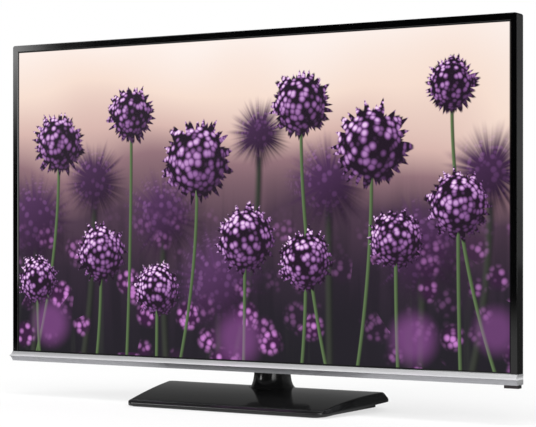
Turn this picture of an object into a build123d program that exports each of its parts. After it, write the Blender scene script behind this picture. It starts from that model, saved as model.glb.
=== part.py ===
from build123d import *
import math
import os

# Flat screen television on a swivel stand. Millimetres: X across, Y to the rear, Z up.

# Clearances
clear = 0.3
play = 0.1
running = 0.05
overrun = 2.0

# Screen and front frame
screen_diagonal = 1016.0
screen_ratio = 16 / 9
screen_lift = 73.2
glass_y = -30.0
side_bezel = 10.8
top_bezel = 10.9
chin_height = 14.9
bezel_proud = 1.6
frame_depth = 21.0
frame_wall = 2.2
frame_corner = 4.0
frame_round = 0.8
window_chamfer = 0.9

# Silver trim along the bottom
trim_gap = 1.0
trim_wall = 1.4
trim_seat = 0.2
trim_nose = 9.4
trim_nose_share = 0.56
trim_upper_swell = 0.9
trim_lower_swell = 1.3
cap_thickness = 2.4
cap_proud = 0.6
cap_round = 0.8

# Sensor tab under the trim
sensor_x = 440.0
sensor_width = 22.0
sensor_height = 5.5
sensor_depth = 12.0
sensor_setback = 8.0
sensor_wall = 1.0
sensor_board_thickness = 0.8
sensor_eye_radius = 1.2
sensor_eye_length = 3.0

# Screen stack behind the bezel
cell_lap = 3.0
cell_thickness = 1.6
ledge_gap = 0.5
ledge_thickness = 1.4
film_thickness = 0.4
film_count = 2
diffuser_thickness = 1.5
middle_depth = 16.0
chassis_sheet = 1.0
chassis_rim = 26.0
chassis_depth = 19.7
reflector_sheet = 0.5
reflector_slope = 30.0
bar_rows = 4
bar_margin = 16.0
bar_height = 18.0
bar_thickness = 1.3
lens_columns = 8
lens_radius = 8.0
lens_height = 6.0
lens_round = 2.5

# Rear cover
cover_wall = 2.5
cover_lip = 1.0
plateau_inset = 40.0
plateau_rise = 14.6
bulge_bottom = 78.0
bulge_top = 470.0
bulge_corner = 18.0
bulge_depth = 50.0
bulge_side_taper = 20.0
bulge_end_taper = 14.0
bulge_round = 5.0
rim_round = 3.0
vent_count = 36
vent_width = 3.0
vent_pitch = 14.0
vent_height = 24.0
vent_below_top = 50.0
speaker_slot_count = 14
speaker_slot_pitch = 8.0
speaker_slot_length = 26.0
cover_screw_radius = 1.7
cover_screw_head = 3.6
cover_screw_head_height = 1.8
cover_screw_edge = 12.0
cover_screw_columns = 4
cover_screw_rows = 3

# Wall mounting
mount_pitch = 200.0
mount_centre_z = 300.0
mount_post_radius = 8.0
mount_thread_radius = 4.0
mount_thread_depth = 25.0

# Circuit boards
board_lift = 8.0
board_thickness = 1.6
board_edge = 7.0
standoff_radius = 4.0
board_screw_radius = 1.5
board_screw_head = 3.0
board_screw_head_height = 1.6
main_board_x = 118.0
main_board_width = 186.0
main_board_bottom = 180.0
main_board_spare = 18.0
power_board_gap = 4.0
power_board_height = 215.0
timing_board_half = 80.0
timing_board_bottom = 345.0
timing_board_height = 60.0
connector_height = 2.4
connector_depth = 7.0
sink_side = 46.0
sink_height = 16.0
sink_base = 3.0
sink_fins = 7
sink_fin = 1.4
capacitor_radius = 9.0
capacitor_height = 26.0
capacitor_pitch = 24.0
capacitor_count = 3
transformer_width = 38.0
transformer_height = 34.0
transformer_depth = 22.0
transformer_count = 2
coil_width = 24.0
power_sink_length = 60.0
power_sink_width = 8.0
power_sink_height = 28.0
power_sink_count = 2

# Cables inside
ribbon_width = 20.0
ribbon_thickness = 0.4
harness_wires = 5
wire_radius = 0.8
wire_pitch = 2.0
speaker_cable_radius = 1.2
speaker_cable_bend = 6.0
speaker_cable_drop = 2.5

# Side recesses and sockets
tray_wall = 2.0
tray_reach = 31.0
socket_lap = 2.0
display_width = 15.0
display_height = 5.6
display_depth = 11.0
display_tongue = 2.0
data_width = 14.4
data_height = 7.0
data_tongue = 1.8
network_width = 16.0
network_height = 13.5
network_wall = 1.6
network_depth = 18.0
jack_radius = 4.2
jack_bore = 1.8
aerial_radius = 4.7
aerial_bore = 3.9
aerial_pin = 0.5
socket_pitch = 20.0
socket_order = ["upper display", "lower display", "data", "network", "aerial", "audio"]
socket_wall = 0.7
inlet_width = 24.0
inlet_height = 15.0
inlet_depth = 18.0
inlet_wall = 2.0
inlet_pin_radius = 1.2
inlet_pin_length = 11.0
inlet_pin_pitch = 8.6
inlet_tray_bottom = 215.0
inlet_tray_height = 60.0

# Loudspeakers
speaker_near = 134.0
speaker_length = 166.0
speaker_bottom = 102.0
speaker_height = 52.0
speaker_depth = 46.0
speaker_wall = 2.0
speaker_stand_off = 2.0
driver_radius = 20.0
driver_rim = 2.5
driver_depth = 16.0
driver_magnet = 11.0
ear_length = 12.0
ear_height = 14.0
ear_thickness = 4.0
grommet_radius = 4.5
grommet_flange = 1.2
grommet_flange_radius = 6.0
speaker_screw_radius = 1.9
speaker_screw_head = 4.0
speaker_screw_head_height = 2.0

# Five-way control on the rear
control_x = 385.0
control_z = 114.0
control_side = 25.0
control_floor = 1.0
control_depth = 5.3
control_pivot = 3.2
ring_outer = 9.0
ring_inner = 6.6
ring_thickness = 1.6
rocker_radius = 5.4
trunnion_radius = 0.6
control_bore = 10.2
trunnion_lap = 1.0
stem_radius = 2.0
stem_length = 7.0
cap_radius = 7.0
cap_height = 5.5
cap_lift = 5.8
cap_dome = 1.8
cap_travel = 0.8
control_hole = 8.7

# Stand bracket and neck
neck_y = 56.0
neck_foot_z = 26.0
neck_foot_radius = 36.3
neck_waist_z = 31.0
neck_waist_radius = 32.6
neck_middle_z = 40.0
neck_middle_radius = 29.9
neck_shoulder_z = 55.0
neck_shoulder_radius = 28.4
neck_top_x = 28.0
neck_top_y = 17.4
neck_wall = 2.2
core_radius = 12.5
core_top = 94.0
core_disc_radius = 29.4
core_disc = 3.4
flange_half = 45.0
flange_thickness = 6.0
flange_bottom = 84.0
flange_top = 165.0
bracket_half = 60.0
bracket_bottom = 102.0
bracket_top = 175.0
bracket_sheet = 2.0
bracket_foot = 16.0
neck_screw_x = 30.0
neck_screw_low = 114.0
neck_screw_high = 148.0
neck_screw_radius = 2.9
neck_screw_head = 5.0
neck_screw_head_height = 3.0
bracket_cover_half = 54.0
bracket_cover_bottom = 80.0
bracket_cover_top = 184.0
bracket_cover_depth = 20.0
bracket_cover_reach = 30.0
bracket_cover_wall = 2.2
bracket_cover_round = 12.0
bracket_cover_lap = 4.0

# Swivel in the base
pivot_radius = 6.0
pivot_length = 13.5
swivel_washer_thickness = 1.2
swivel_radius = 30.4
swivel_thickness = 3.0
swivel_pillar = 4.0
swivel_pillar_offset = 18.0
pivot_washer_radius = 11.0
pivot_washer_thickness = 1.2
pivot_nut_radius = 9.5
pivot_nut_height = 5.0
pivot_nut_sides = 6

# Base
base_depth = 193.0
base_front_half = 175.0
base_crest_y = 56.0
base_crest_half = 206.5
base_back_half = 180.0
base_front_low = 3.5
base_lip_high = 6.5
base_front_high = 9.8
base_front_chamfer = 5.5
base_crest_low = 14.0
base_crest_lip = 18.0
base_crest_high = 27.75
base_front_swell = 3.0
base_back_swell = 2.6
base_slope_run = 16.0
base_back_low = 12.0
base_back_lip = 15.5
base_back_high = 17.0
base_corner = 12.0
base_wall = 2.2
pad_setback = 0.6
pad_ring = 1.0
pad_opening_margin = 0.6
pan_half_width = 167.5
pan_corner = 10.0
pan_lift = 1.0
pan_floor = 2.2
pan_inset = 0.5
pan_back_inset = 2.0
pan_wall = 2.0
pan_rise = 3.0
weight_thickness = 3.0
weight_margin = 14.0
foot_radius = 9.0
foot_margin = 16.0
boss_radius = 4.5
boss_front_x = 120.0
boss_front_y = -50.0
boss_back_x = 132.0
boss_back_y = 30.0
base_screw_radius = 1.8
base_screw_head = 3.4
base_screw_head_height = 1.1
base_screw_length = 8.0

# Worked out from the driving dimensions
screen_width = screen_diagonal * screen_ratio / math.hypot(screen_ratio, 1)
screen_height = screen_width / screen_ratio
screen_half = screen_width / 2
screen_bottom = screen_lift
screen_top = screen_bottom + screen_height
frame_half = screen_half + side_bezel
frame_top = screen_top + top_bezel
frame_bottom = screen_bottom - chin_height
frame_front = glass_y - bezel_proud
frame_back = frame_front + frame_depth
trim_top = screen_bottom - trim_gap
trim_bottom = frame_bottom - trim_seat - trim_wall
trim_half = frame_half + cap_proud
cell_back = glass_y + cell_thickness
ledge_back = cell_back + ledge_thickness
films_back = ledge_back + film_count * film_thickness
diffuser_back = films_back + diffuser_thickness
pocket_half = screen_half + cell_lap + clear
pocket_bottom = screen_bottom - cell_lap - clear
pocket_top = screen_top + cell_lap + clear
chassis_half = pocket_half - clear
chassis_bottom = pocket_bottom + clear
chassis_top = pocket_top - clear
rim_back = diffuser_back + chassis_sheet
chassis_back = rim_back + chassis_depth
chassis_floor = chassis_back - chassis_sheet
pan_half = chassis_half - chassis_rim
bar_front = chassis_floor - bar_thickness
plateau_y = frame_back + plateau_rise
tray_x = main_board_x + main_board_width
bulge_half = tray_x + tray_reach
power_board_width = main_board_width - power_board_gap
socket_column = len(socket_order) * socket_pitch
main_board_height = socket_column + 2 * (board_edge + standoff_radius) + main_board_spare
bulge_back = plateau_y + bulge_depth
board_front = chassis_back + board_lift
board_back = board_front + board_thickness
base_half_depth = base_depth / 2
flange_back = bulge_back - flange_thickness
bracket_back = flange_back - flange_thickness
core_bottom = neck_foot_z + play
swivel_top = core_bottom - play - swivel_washer_thickness
pan_top = pan_lift + pan_floor
weight_top = pan_top + weight_thickness
tray_y = plateau_y - tray_wall
pad_radius = neck_foot_radius - pad_setback


# A box between two corners
def block(x_low, x_high, y_low, y_high, z_low, z_high):
    centre = Pos((x_low + x_high) / 2, (y_low + y_high) / 2, (z_low + z_high) / 2)
    return centre * Box(x_high - x_low, y_high - y_low, z_high - z_low)


# A rod along X, Y or Z
def rod_x(x_low, x_high, y, z, radius):
    return Pos((x_low + x_high) / 2, y, z) * Rot(0, 90, 0) * Cylinder(radius, x_high - x_low)


def rod_y(x, y_low, y_high, z, radius):
    return Pos(x, (y_low + y_high) / 2, z) * Rot(90, 0, 0) * Cylinder(radius, y_high - y_low)


def rod_z(x, y, z_low, z_high, radius):
    return Pos(x, y, (z_low + z_high) / 2) * Cylinder(radius, z_high - z_low)


# An upright plane whose sketch X is X and sketch Y is Z
def upright(y):
    return Plane(origin=(0, y, 0), x_dir=(1, 0, 0), z_dir=(0, -1, 0))


# A rounded rectangle seen from the front, between two heights
def panel_outline(half_width, z_low, z_high, corner):
    return Pos(0, (z_low + z_high) / 2) * RectangleRounded(2 * half_width, z_high - z_low, corner)


def upright_slab(outline, y_low, y_high):
    return extrude(upright(y_high) * outline, amount=y_high - y_low)


# A tapered block between two upright outlines
def upright_taper(front_outline, y_low, back_outline, y_high):
    return loft([upright(y_low) * front_outline, upright(y_high) * back_outline], ruled=True)


# Values spread evenly between two ends
def spread(low, high, count):
    return [low + (high - low) * index / (count - 1) for index in range(count)]


def save(name, *pieces):
    solids = [solid for piece in pieces for solid in piece.solids()]
    shape = solids[0] if len(solids) == 1 else Compound(solids)
    export_step(shape, f"parts/{name}.step")


# Front frame: a thin bezel with side walls, cut back where the trim's end caps sit
def make_front_bezel():
    outer = upright_slab(panel_outline(frame_half, frame_bottom, frame_top, frame_corner), frame_front,
                         frame_back)
    outer = fillet(outer.faces().sort_by(Axis.Y)[0].edges(), frame_round)
    inner_half = frame_half - frame_wall
    inner = block(-inner_half, inner_half, glass_y, frame_back + overrun,
                  frame_bottom + frame_wall, frame_top - frame_wall)
    window = block(-screen_half, screen_half, frame_front - overrun, glass_y + overrun, screen_bottom,
                   screen_top)
    bezel = outer - inner - window
    front_face = bezel.faces().filter_by(Axis.Y).sort_by(Axis.Y)[0]
    bezel = chamfer(front_face.inner_wires()[0].edges(), window_chamfer)
    seat_x = trim_half - cap_thickness
    for side in (-1, 1):
        x_low, x_high = sorted((side * seat_x, side * (trim_half + overrun)))
        bezel -= block(x_low, x_high, frame_front - overrun, frame_back + overrun,
                       frame_bottom - overrun, trim_top)
    return bezel


# The trim's outline in the YZ plane: flat top edge, crease at the nose, flat underside
def trim_outline(inset, back_points):
    nose_z = trim_bottom + trim_nose_share * (trim_top - trim_bottom)
    upper = (frame_front, trim_top - inset)
    nose = (frame_front - trim_nose + inset, nose_z)
    lower = (frame_front, trim_bottom + inset)
    curve = SagittaArc(upper, nose, trim_upper_swell) + SagittaArc(nose, lower, trim_lower_swell)
    return Plane.YZ * make_face(curve + Polyline(lower, *back_points, upper))


def make_bottom_trim():
    half = trim_half - cap_thickness
    lip_top = trim_bottom + trim_wall
    lip = [(frame_back, trim_bottom), (frame_back, lip_top), (frame_front, lip_top)]
    outer = extrude(Pos(-half, 0, 0) * trim_outline(0, lip), amount=2 * half)
    hollow = extrude(Pos(-half - overrun, 0, 0) * trim_outline(trim_wall, []),
                     amount=2 * (half + overrun))
    return outer - hollow


def make_trim_end_caps():
    back = [(frame_back, trim_bottom), (frame_back, trim_top)]
    outline = trim_outline(0, back)
    caps = []
    for side in (-1, 1):
        start = trim_half - cap_thickness if side > 0 else -trim_half
        cap = extrude(Pos(start, 0, 0) * outline, amount=cap_thickness)
        outer_face = cap.faces().sort_by(Axis.X)[-1 if side > 0 else 0]
        caps.append(fillet(outer_face.edges(), cap_round))
    return caps


# Sensor tab: an open housing, a dark window in front and the receiver board inside
def sensor_box():
    half = sensor_width / 2
    front = glass_y + sensor_setback
    low = trim_bottom - sensor_height
    return sensor_x - half, sensor_x + half, front, front + sensor_depth, low, trim_bottom


def make_sensor_housing():
    x_low, x_high, y_low, y_high, z_low, z_high = sensor_box()
    wall = sensor_wall
    body = block(x_low, x_high, y_low + wall, y_high, z_low, z_high)
    return body - block(x_low + wall, x_high - wall, y_low, y_high - wall, z_low + wall, z_high - wall)


def make_sensor_window():
    x_low, x_high, y_low, _, z_low, z_high = sensor_box()
    window = block(x_low, x_high, y_low, y_low + sensor_wall, z_low, z_high)
    return fillet(window.edges().group_by(Axis.Y)[0], sensor_wall / 2)


def make_sensor_board():
    x_low, x_high, y_low, y_high, z_low, _ = sensor_box()
    wall = sensor_wall
    board_z = z_low + wall + sensor_board_thickness
    board = block(x_low + wall + clear, x_high - wall - clear, y_low + wall + clear,
                  y_high - wall - clear, z_low + wall, board_z)
    eye = rod_y(sensor_x, y_low + wall + clear, y_low + wall + clear + sensor_eye_length,
                board_z + sensor_eye_radius - play, sensor_eye_radius)
    return board + eye


# Screen stack
def make_lcd_cell():
    return block(-screen_half - cell_lap, screen_half + cell_lap, glass_y, cell_back,
                 screen_bottom - cell_lap, screen_top + cell_lap)


def make_middle_frame():
    half = frame_half - frame_wall - clear
    z_low = frame_bottom + frame_wall + clear
    z_high = frame_top - frame_wall - clear
    body = block(-half, half, glass_y, glass_y + middle_depth, z_low, z_high)
    body -= block(-pocket_half, pocket_half, glass_y - overrun, cell_back, pocket_bottom, pocket_top)
    body -= block(-pocket_half, pocket_half, ledge_back, glass_y + middle_depth + overrun, pocket_bottom,
                  pocket_top)
    opening_half = screen_half + ledge_gap
    return body - block(-opening_half, opening_half, glass_y - overrun, ledge_back + overrun,
                        screen_bottom - ledge_gap, screen_top + ledge_gap)


def stack_sheet(y_low, thickness):
    return block(-chassis_half, chassis_half, y_low, y_low + thickness, chassis_bottom, chassis_top)


def make_optical_films():
    return [stack_sheet(ledge_back + index * film_thickness, film_thickness) for index in range(film_count)]


def make_diffuser_plate():
    return stack_sheet(films_back, diffuser_thickness)


# Heights of the light bars and places of the lenses on them
def bar_heights():
    first = chassis_bottom + chassis_rim + reflector_slope + bar_margin
    last = chassis_top - chassis_rim - reflector_slope - bar_margin
    return spread(first, last, bar_rows)


def lens_places():
    reach = pan_half - reflector_slope - bar_margin - lens_radius
    return [(x, z) for z in bar_heights() for x in spread(-reach, reach, lens_columns)]


def make_reflector_sheet():
    front = rim_back
    edge_bottom = chassis_bottom + chassis_rim + chassis_sheet + clear
    edge_top = chassis_top - chassis_rim - chassis_sheet - clear
    half = pan_half - chassis_sheet - clear
    back = bar_front

    def opening(inset):
        height = edge_top - edge_bottom - 2 * inset
        return Pos(0, (edge_bottom + edge_top) / 2) * Rectangle(2 * (half - inset), height)

    def dish(inset, y_front, y_back):
        return upright_taper(opening(inset), y_front, opening(inset + reflector_slope), y_back)

    sheet = dish(0, front, back) - dish(reflector_sheet, front - play, back - reflector_sheet)
    holes = [rod_y(x, back - overrun, back + overrun, z, lens_radius + clear) for x, z in lens_places()]
    return sheet - holes


def make_led_bars():
    half = pan_half - reflector_slope - bar_margin
    return [block(-half, half, bar_front, chassis_floor, z - bar_height / 2, z + bar_height / 2)
            for z in bar_heights()]


def make_led_lenses():
    lenses = []
    for x, z in lens_places():
        lens = rod_y(x, bar_front - lens_height, bar_front, z, lens_radius)
        lenses.append(fillet(lens.edges().sort_by(Axis.Y)[0], lens_round))
    return lenses


# Places of the screws that hold the rear cover to the chassis
def cover_screw_places():
    x_edge = frame_half - plateau_inset - cover_screw_edge
    z_low = frame_bottom + plateau_inset + cover_screw_edge
    z_high = frame_top - plateau_inset - cover_screw_edge
    rows = [(side * x_edge, z)
            for z in spread(z_low + plateau_inset, z_high - plateau_inset, cover_screw_rows)
            for side in (-1, 1)]
    columns = [(x, z_high)
               for x in spread(-x_edge + plateau_inset, x_edge - plateau_inset, cover_screw_columns)]
    return rows + columns


def control_pivot_y():
    return chassis_back + control_pivot


def mount_places():
    half = mount_pitch / 2
    return [(x, mount_centre_z + z) for x in (-half, half) for z in (-half, half)]


def make_back_chassis():
    z_low = chassis_bottom
    z_high = chassis_top
    rim = block(-chassis_half, chassis_half, diffuser_back, rim_back, z_low, z_high)
    pan_low = z_low + chassis_rim
    pan_high = z_high - chassis_rim
    pan = block(-pan_half, pan_half, diffuser_back, chassis_back, pan_low, pan_high)
    inner = block(-pan_half + chassis_sheet, pan_half - chassis_sheet, diffuser_back - overrun,
                  chassis_floor, pan_low + chassis_sheet, pan_high - chassis_sheet)
    chassis = rim + pan - inner
    holes = [rod_y(x, chassis_floor - overrun, chassis_back + overrun, z, cover_screw_radius + play)
             for x, z in cover_screw_places()]
    return chassis - holes


# Rear cover: a low rim that falls away from the frame, and the deep middle that holds the electronics
def cover_rim_form(inset):
    half = frame_half - cover_lip - inset
    z_low = frame_bottom + cover_lip + inset
    z_high = frame_top - cover_lip - inset
    front = panel_outline(half, z_low, z_high, frame_corner)
    fall = plateau_inset - cover_lip
    back = panel_outline(half - fall, z_low + fall, z_high - fall, frame_corner)
    form = upright_taper(front, frame_back, back, plateau_y - inset)
    return fillet(form.faces().sort_by(Axis.Y)[-1].edges(), rim_round)


def cover_bulge_form(inset):
    front = panel_outline(bulge_half - inset, bulge_bottom + inset, bulge_top - inset, bulge_corner)
    back = panel_outline(bulge_half - bulge_side_taper - inset, bulge_bottom + bulge_end_taper + inset,
                         bulge_top - bulge_end_taper - inset, bulge_corner)
    form = upright_taper(front, plateau_y - cover_wall, back, bulge_back - inset)
    return fillet(form.faces().sort_by(Axis.Y)[-1].edges(), bulge_round)


def make_rear_cover():
    outer = cover_rim_form(0) + cover_bulge_form(0)
    cover = outer - cover_rim_form(cover_wall) - cover_bulge_form(cover_wall)
    vent_z = bulge_top - vent_below_top
    reach = vent_pitch * (vent_count - 1) / 2
    cuts = [block(x - vent_width / 2, x + vent_width / 2, bulge_back - cover_wall - overrun,
                  bulge_back + overrun, vent_z, vent_z + vent_height)
            for x in spread(-reach, reach, vent_count)]
    slot_y = plateau_y + bulge_depth / 2
    middle = speaker_near + speaker_length / 2
    slot_reach = speaker_slot_pitch * (speaker_slot_count - 1) / 2
    for side in (-1, 1):
        for x in spread(side * middle - slot_reach, side * middle + slot_reach, speaker_slot_count):
            cuts.append(block(x - vent_width / 2, x + vent_width / 2, slot_y - speaker_slot_length / 2,
                              slot_y + speaker_slot_length / 2, bulge_bottom, speaker_bottom))
    cuts += [rod_y(x, plateau_y - cover_wall - overrun, plateau_y + overrun, z, cover_screw_radius + play)
             for x, z in cover_screw_places()]
    hole = mount_post_radius + clear
    cuts += [rod_y(x, bulge_back - cover_wall - overrun, bulge_back + overrun, z, hole)
             for x, z in mount_places()]
    y_low = plateau_y - cover_wall - overrun
    cuts.append(rod_y(control_x, y_low, plateau_y + overrun, control_z, control_hole))
    cuts.append(side_tray_block(1, main_board_bottom, main_board_height))
    cuts.append(side_tray_block(-1, inlet_tray_bottom, inlet_tray_height))
    lap = bracket_cover_lap
    cuts.append(block(-bracket_cover_half + lap, bracket_cover_half - lap, bracket_back - lap,
                      bulge_back + overrun, bulge_bottom - overrun, bracket_cover_top - lap))
    return cover - cuts


def make_rear_cover_screws():
    screws = []
    for x, z in cover_screw_places():
        shaft = rod_y(x, chassis_floor, plateau_y, z, cover_screw_radius)
        head = rod_y(x, plateau_y, plateau_y + cover_screw_head_height, z, cover_screw_head)
        screws.append(shaft + head)
    return screws


def make_wall_mount_posts():
    posts = []
    for x, z in mount_places():
        post = rod_y(x, chassis_back, bulge_back, z, mount_post_radius)
        thread_end = bulge_back - mount_thread_depth
        posts.append(post - rod_y(x, thread_end, bulge_back + overrun, z, mount_thread_radius))
    return posts


# Circuit boards stand on pillars behind the chassis
def board_frames():
    main = (main_board_x, main_board_x + main_board_width, main_board_bottom,
            main_board_bottom + main_board_height)
    power = (-main_board_x - power_board_width, -main_board_x, main_board_bottom,
             main_board_bottom + power_board_height)
    timing = (-timing_board_half, timing_board_half, timing_board_bottom,
              timing_board_bottom + timing_board_height)
    return main, power, timing


def board_corners(frame):
    x_low, x_high, z_low, z_high = frame
    return [(x, z) for x in (x_low + board_edge, x_high - board_edge)
            for z in (z_low + board_edge, z_high - board_edge)]


def make_board(frame, connectors):
    x_low, x_high, z_low, z_high = frame
    board = block(x_low, x_high, board_front, board_back, z_low, z_high)
    holes = [rod_y(x, board_front - overrun, board_back + overrun, z, board_screw_radius + play)
             for x, z in board_corners(frame)]
    board -= holes
    for x, z, width, height in connectors:
        board += block(x - width / 2, x + width / 2, board_back, board_back + connector_height,
                       z - height / 2, z + height / 2)
    return board


def harness_z():
    return main_board_bottom + main_board_height / 2


def ribbon_z():
    return timing_board_bottom + timing_board_height / 2


def harness_span():
    return harness_wires * wire_pitch


def make_main_board():
    main = board_frames()[0]
    harness = (main[0] + connector_depth / 2, harness_z(), connector_depth, harness_span())
    ribbon = (main[0] + board_edge + ribbon_width, main[3] - connector_depth / 2, ribbon_width,
              connector_depth)
    return make_board(main, [harness, ribbon])


def make_power_board():
    power = board_frames()[1]
    harness = (power[1] - connector_depth / 2, harness_z(), connector_depth, harness_span())
    return make_board(power, [harness])


def make_timing_board():
    timing = board_frames()[2]
    ribbon = (timing[1] - connector_depth / 2, ribbon_z(), connector_depth, ribbon_width)
    return make_board(timing, [ribbon])


def make_board_standoffs():
    posts = []
    bore = board_screw_radius + play
    for frame in board_frames():
        for x, z in board_corners(frame):
            post = rod_y(x, chassis_back, board_front, z, standoff_radius)
            posts.append(post - rod_y(x, chassis_back + overrun, board_front + overrun, z, bore))
    return posts


def make_board_screws():
    screws = []
    head_back = board_back + board_screw_head_height
    for frame in board_frames():
        for x, z in board_corners(frame):
            shaft = rod_y(x, board_front - overrun, board_back, z, board_screw_radius)
            screws.append(shaft + rod_y(x, board_back, head_back, z, board_screw_head))
    return screws


# Finned heat sink standing on a board
def finned_sink(x, z, width, height, depth):
    sink = block(x - width / 2, x + width / 2, board_back, board_back + sink_base, z - height / 2,
                 z + height / 2)
    for fin_x in spread(x - width / 2 + sink_fin / 2, x + width / 2 - sink_fin / 2, sink_fins):
        sink += block(fin_x - sink_fin / 2, fin_x + sink_fin / 2, board_back, board_back + depth,
                      z - height / 2, z + height / 2)
    return sink


def make_heat_sinks():
    main, power, _ = board_frames()
    sinks = [finned_sink((main[0] + main[1]) / 2, harness_z(), sink_side, sink_side, sink_height)]
    half_width = power_sink_width / 2
    half_length = power_sink_length / 2
    back = board_back + power_sink_height
    x = power[1]
    z = power[2] + power_sink_length
    for _ in range(power_sink_count):
        x -= power_sink_width + transformer_width
        sinks.append(block(x - half_width, x + half_width, board_back, back, z - half_length,
                           z + half_length))
    return sinks


def make_power_capacitors():
    power = board_frames()[1]
    z = power[3] - board_edge - standoff_radius - capacitor_radius
    first = power[0] + 2 * board_edge + capacitor_radius
    back = board_back + capacitor_height
    return [rod_y(first + index * capacitor_pitch, board_back, back, z, capacitor_radius)
            for index in range(capacitor_count)]


# Two wound transformers: a square core around a round winding
def make_power_transformers():
    power = board_frames()[1]
    z = power[3] - board_edge - 2 * capacitor_pitch - transformer_height / 2
    half = transformer_width / 2
    half_coil = coil_width / 2
    half_height = transformer_height / 2
    back = board_back + transformer_depth
    x = power[0] + 2 * board_edge + half
    pieces = []
    for _ in range(transformer_count):
        core = block(x - half, x + half, board_back, back, z - half_coil, z + half_coil)
        coil = block(x - half_coil, x + half_coil, board_back + play, back - play, z - half_height,
                     z + half_height)
        pieces.append(core + coil)
        x += transformer_width + capacitor_pitch
    return pieces


# Flat cable from the main board up and across to the timing board
def make_signal_ribbon():
    main, _, timing = board_frames()
    y = board_back + connector_height
    x_main = main[0] + board_edge + ribbon_width
    across = block(timing[1] - connector_depth, x_main + ribbon_width / 2, y, y + ribbon_thickness,
                   ribbon_z() - ribbon_width / 2, ribbon_z() + ribbon_width / 2)
    down = block(x_main - ribbon_width / 2, x_main + ribbon_width / 2, y, y + ribbon_thickness,
                 main[3] - connector_depth, ribbon_z())
    return across + down


def make_power_harness():
    main, power, _ = board_frames()
    y = board_back + connector_height + wire_radius
    reach = wire_pitch * (harness_wires - 1) / 2
    return [rod_x(power[1] - connector_depth, main[0] + connector_depth, y, z, wire_radius)
            for z in spread(harness_z() - reach, harness_z() + reach, harness_wires)]


# Two speaker cables run behind the boards and drop to the speaker boxes
def make_speaker_cables():
    y = chassis_back + speaker_cable_radius + play
    z_run = main_board_bottom - speaker_cable_drop
    z_end = speaker_bottom + speaker_height
    x_start = main_board_x + board_edge + 2 * standoff_radius
    x_left = -speaker_near - speaker_length / 2
    x_right = speaker_near + speaker_length / 2
    z_start = main_board_bottom + board_edge
    pieces = []
    for x_end, x_from in ((x_left, x_start), (x_right, x_start + 2 * board_edge)):
        corners = [(x_from, z_start), (x_from, z_run), (x_end, z_run), (x_end, z_end)]
        path = upright(y) * FilletPolyline(*corners, radius=speaker_cable_bend)
        profile = Plane(origin=path @ 0, z_dir=path % 0) * Circle(speaker_cable_radius)
        pieces.append(sweep(profile, path))
    return pieces


# A recess in the side of the deep middle, closed inside by a thin tray
def side_tray_block(side, z_low, height):
    x_low, x_high = sorted((side * tray_x, side * (bulge_half + overrun)))
    return block(x_low, x_high, tray_y, bulge_back + overrun, z_low, z_low + height)


def side_tray(side, z_low, height):
    x_low, x_high = sorted((side * (tray_x + tray_wall), side * (bulge_half + 2 * overrun)))
    hollow = block(x_low, x_high, tray_y + tray_wall, bulge_back + 2 * overrun, z_low + tray_wall,
                   z_low + height - tray_wall)
    return (side_tray_block(side, z_low, height) - hollow) & cover_bulge_form(0)


# Sockets in a column along the edge of the main board, facing sideways
def socket_z(name):
    top = main_board_bottom + main_board_height - board_edge - standoff_radius - socket_pitch / 2
    return top - socket_order.index(name) * socket_pitch


def socket_cut(name, width, height):
    z = socket_z(name)
    return block(tray_x - overrun, tray_x + tray_wall + overrun, board_back - clear,
                 board_back + height + clear, z - width / 2 - clear, z + width / 2 + clear)


def round_socket_cut(name, radius):
    return rod_x(tray_x - overrun, tray_x + tray_wall + overrun, board_back + radius, socket_z(name),
                 radius + clear)


def socket_shell(z, width, height, depth, wall):
    x_high = tray_x + tray_wall
    x_low = x_high - depth
    body = block(x_low, x_high, board_back, board_back + height, z - width / 2, z + width / 2)
    hollow = block(x_low + wall, x_high + overrun, board_back + wall, board_back + height - wall,
                   z - width / 2 + wall, z + width / 2 - wall)
    return body - hollow


def with_tongue(shell, z, width, height, depth, tongue):
    middle = board_back + height / 2
    x_low = tray_x + tray_wall - depth
    return shell + block(x_low, tray_x + tray_wall - socket_lap, middle - tongue / 2, middle + tongue / 2,
                         z - width / 4, z + width / 4)


def make_display_sockets():
    sockets = []
    for z in (socket_z("upper display"), socket_z("lower display")):
        shell = socket_shell(z, display_width, display_height, display_depth, socket_wall)
        sockets.append(with_tongue(shell, z, display_width, display_height, display_depth,
                                   display_tongue))
    return sockets


def make_data_socket():
    z = socket_z("data")
    shell = socket_shell(z, data_width, data_height, display_depth, socket_wall)
    return with_tongue(shell, z, data_width, data_height, display_depth, data_tongue)


def make_network_socket():
    return socket_shell(socket_z("network"), network_width, network_height, network_depth, network_wall)


# A round socket with a bore, on a block that sits on the board
def round_socket(z, radius, bore, reach):
    y = board_back + radius
    x_low = tray_x + tray_wall - display_depth
    x_high = tray_x + tray_wall + reach
    body = block(x_low, tray_x - clear, board_back, board_back + 2 * radius, z - radius, z + radius)
    barrel = rod_x(tray_x - clear, x_high, y, z, radius)
    return body + barrel - rod_x(x_low + socket_lap, x_high + overrun, y, z, bore)


def make_aerial_socket():
    z = socket_z("aerial")
    y = board_back + aerial_radius
    reach = 4 * tray_wall
    x_high = tray_x + tray_wall
    pin = rod_x(x_high - display_depth, x_high + reach - socket_lap, y, z, aerial_pin)
    return round_socket(z, aerial_radius, aerial_bore, reach) + pin


def make_audio_jack():
    return round_socket(socket_z("audio"), jack_radius, jack_bore, 0)


def make_socket_panel():
    panel = side_tray(1, main_board_bottom, main_board_height)
    cuts = [socket_cut("upper display", display_width, display_height),
            socket_cut("lower display", display_width, display_height),
            socket_cut("data", data_width, data_height),
            socket_cut("network", network_width, network_height),
            round_socket_cut("aerial", aerial_radius),
            round_socket_cut("audio", jack_radius)]
    return panel - cuts


# Mains inlet with two pins, facing sideways out of its own recess
def inlet_centre():
    return tray_y + tray_wall + inlet_width / 2, inlet_tray_bottom + inlet_tray_height / 2


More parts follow.
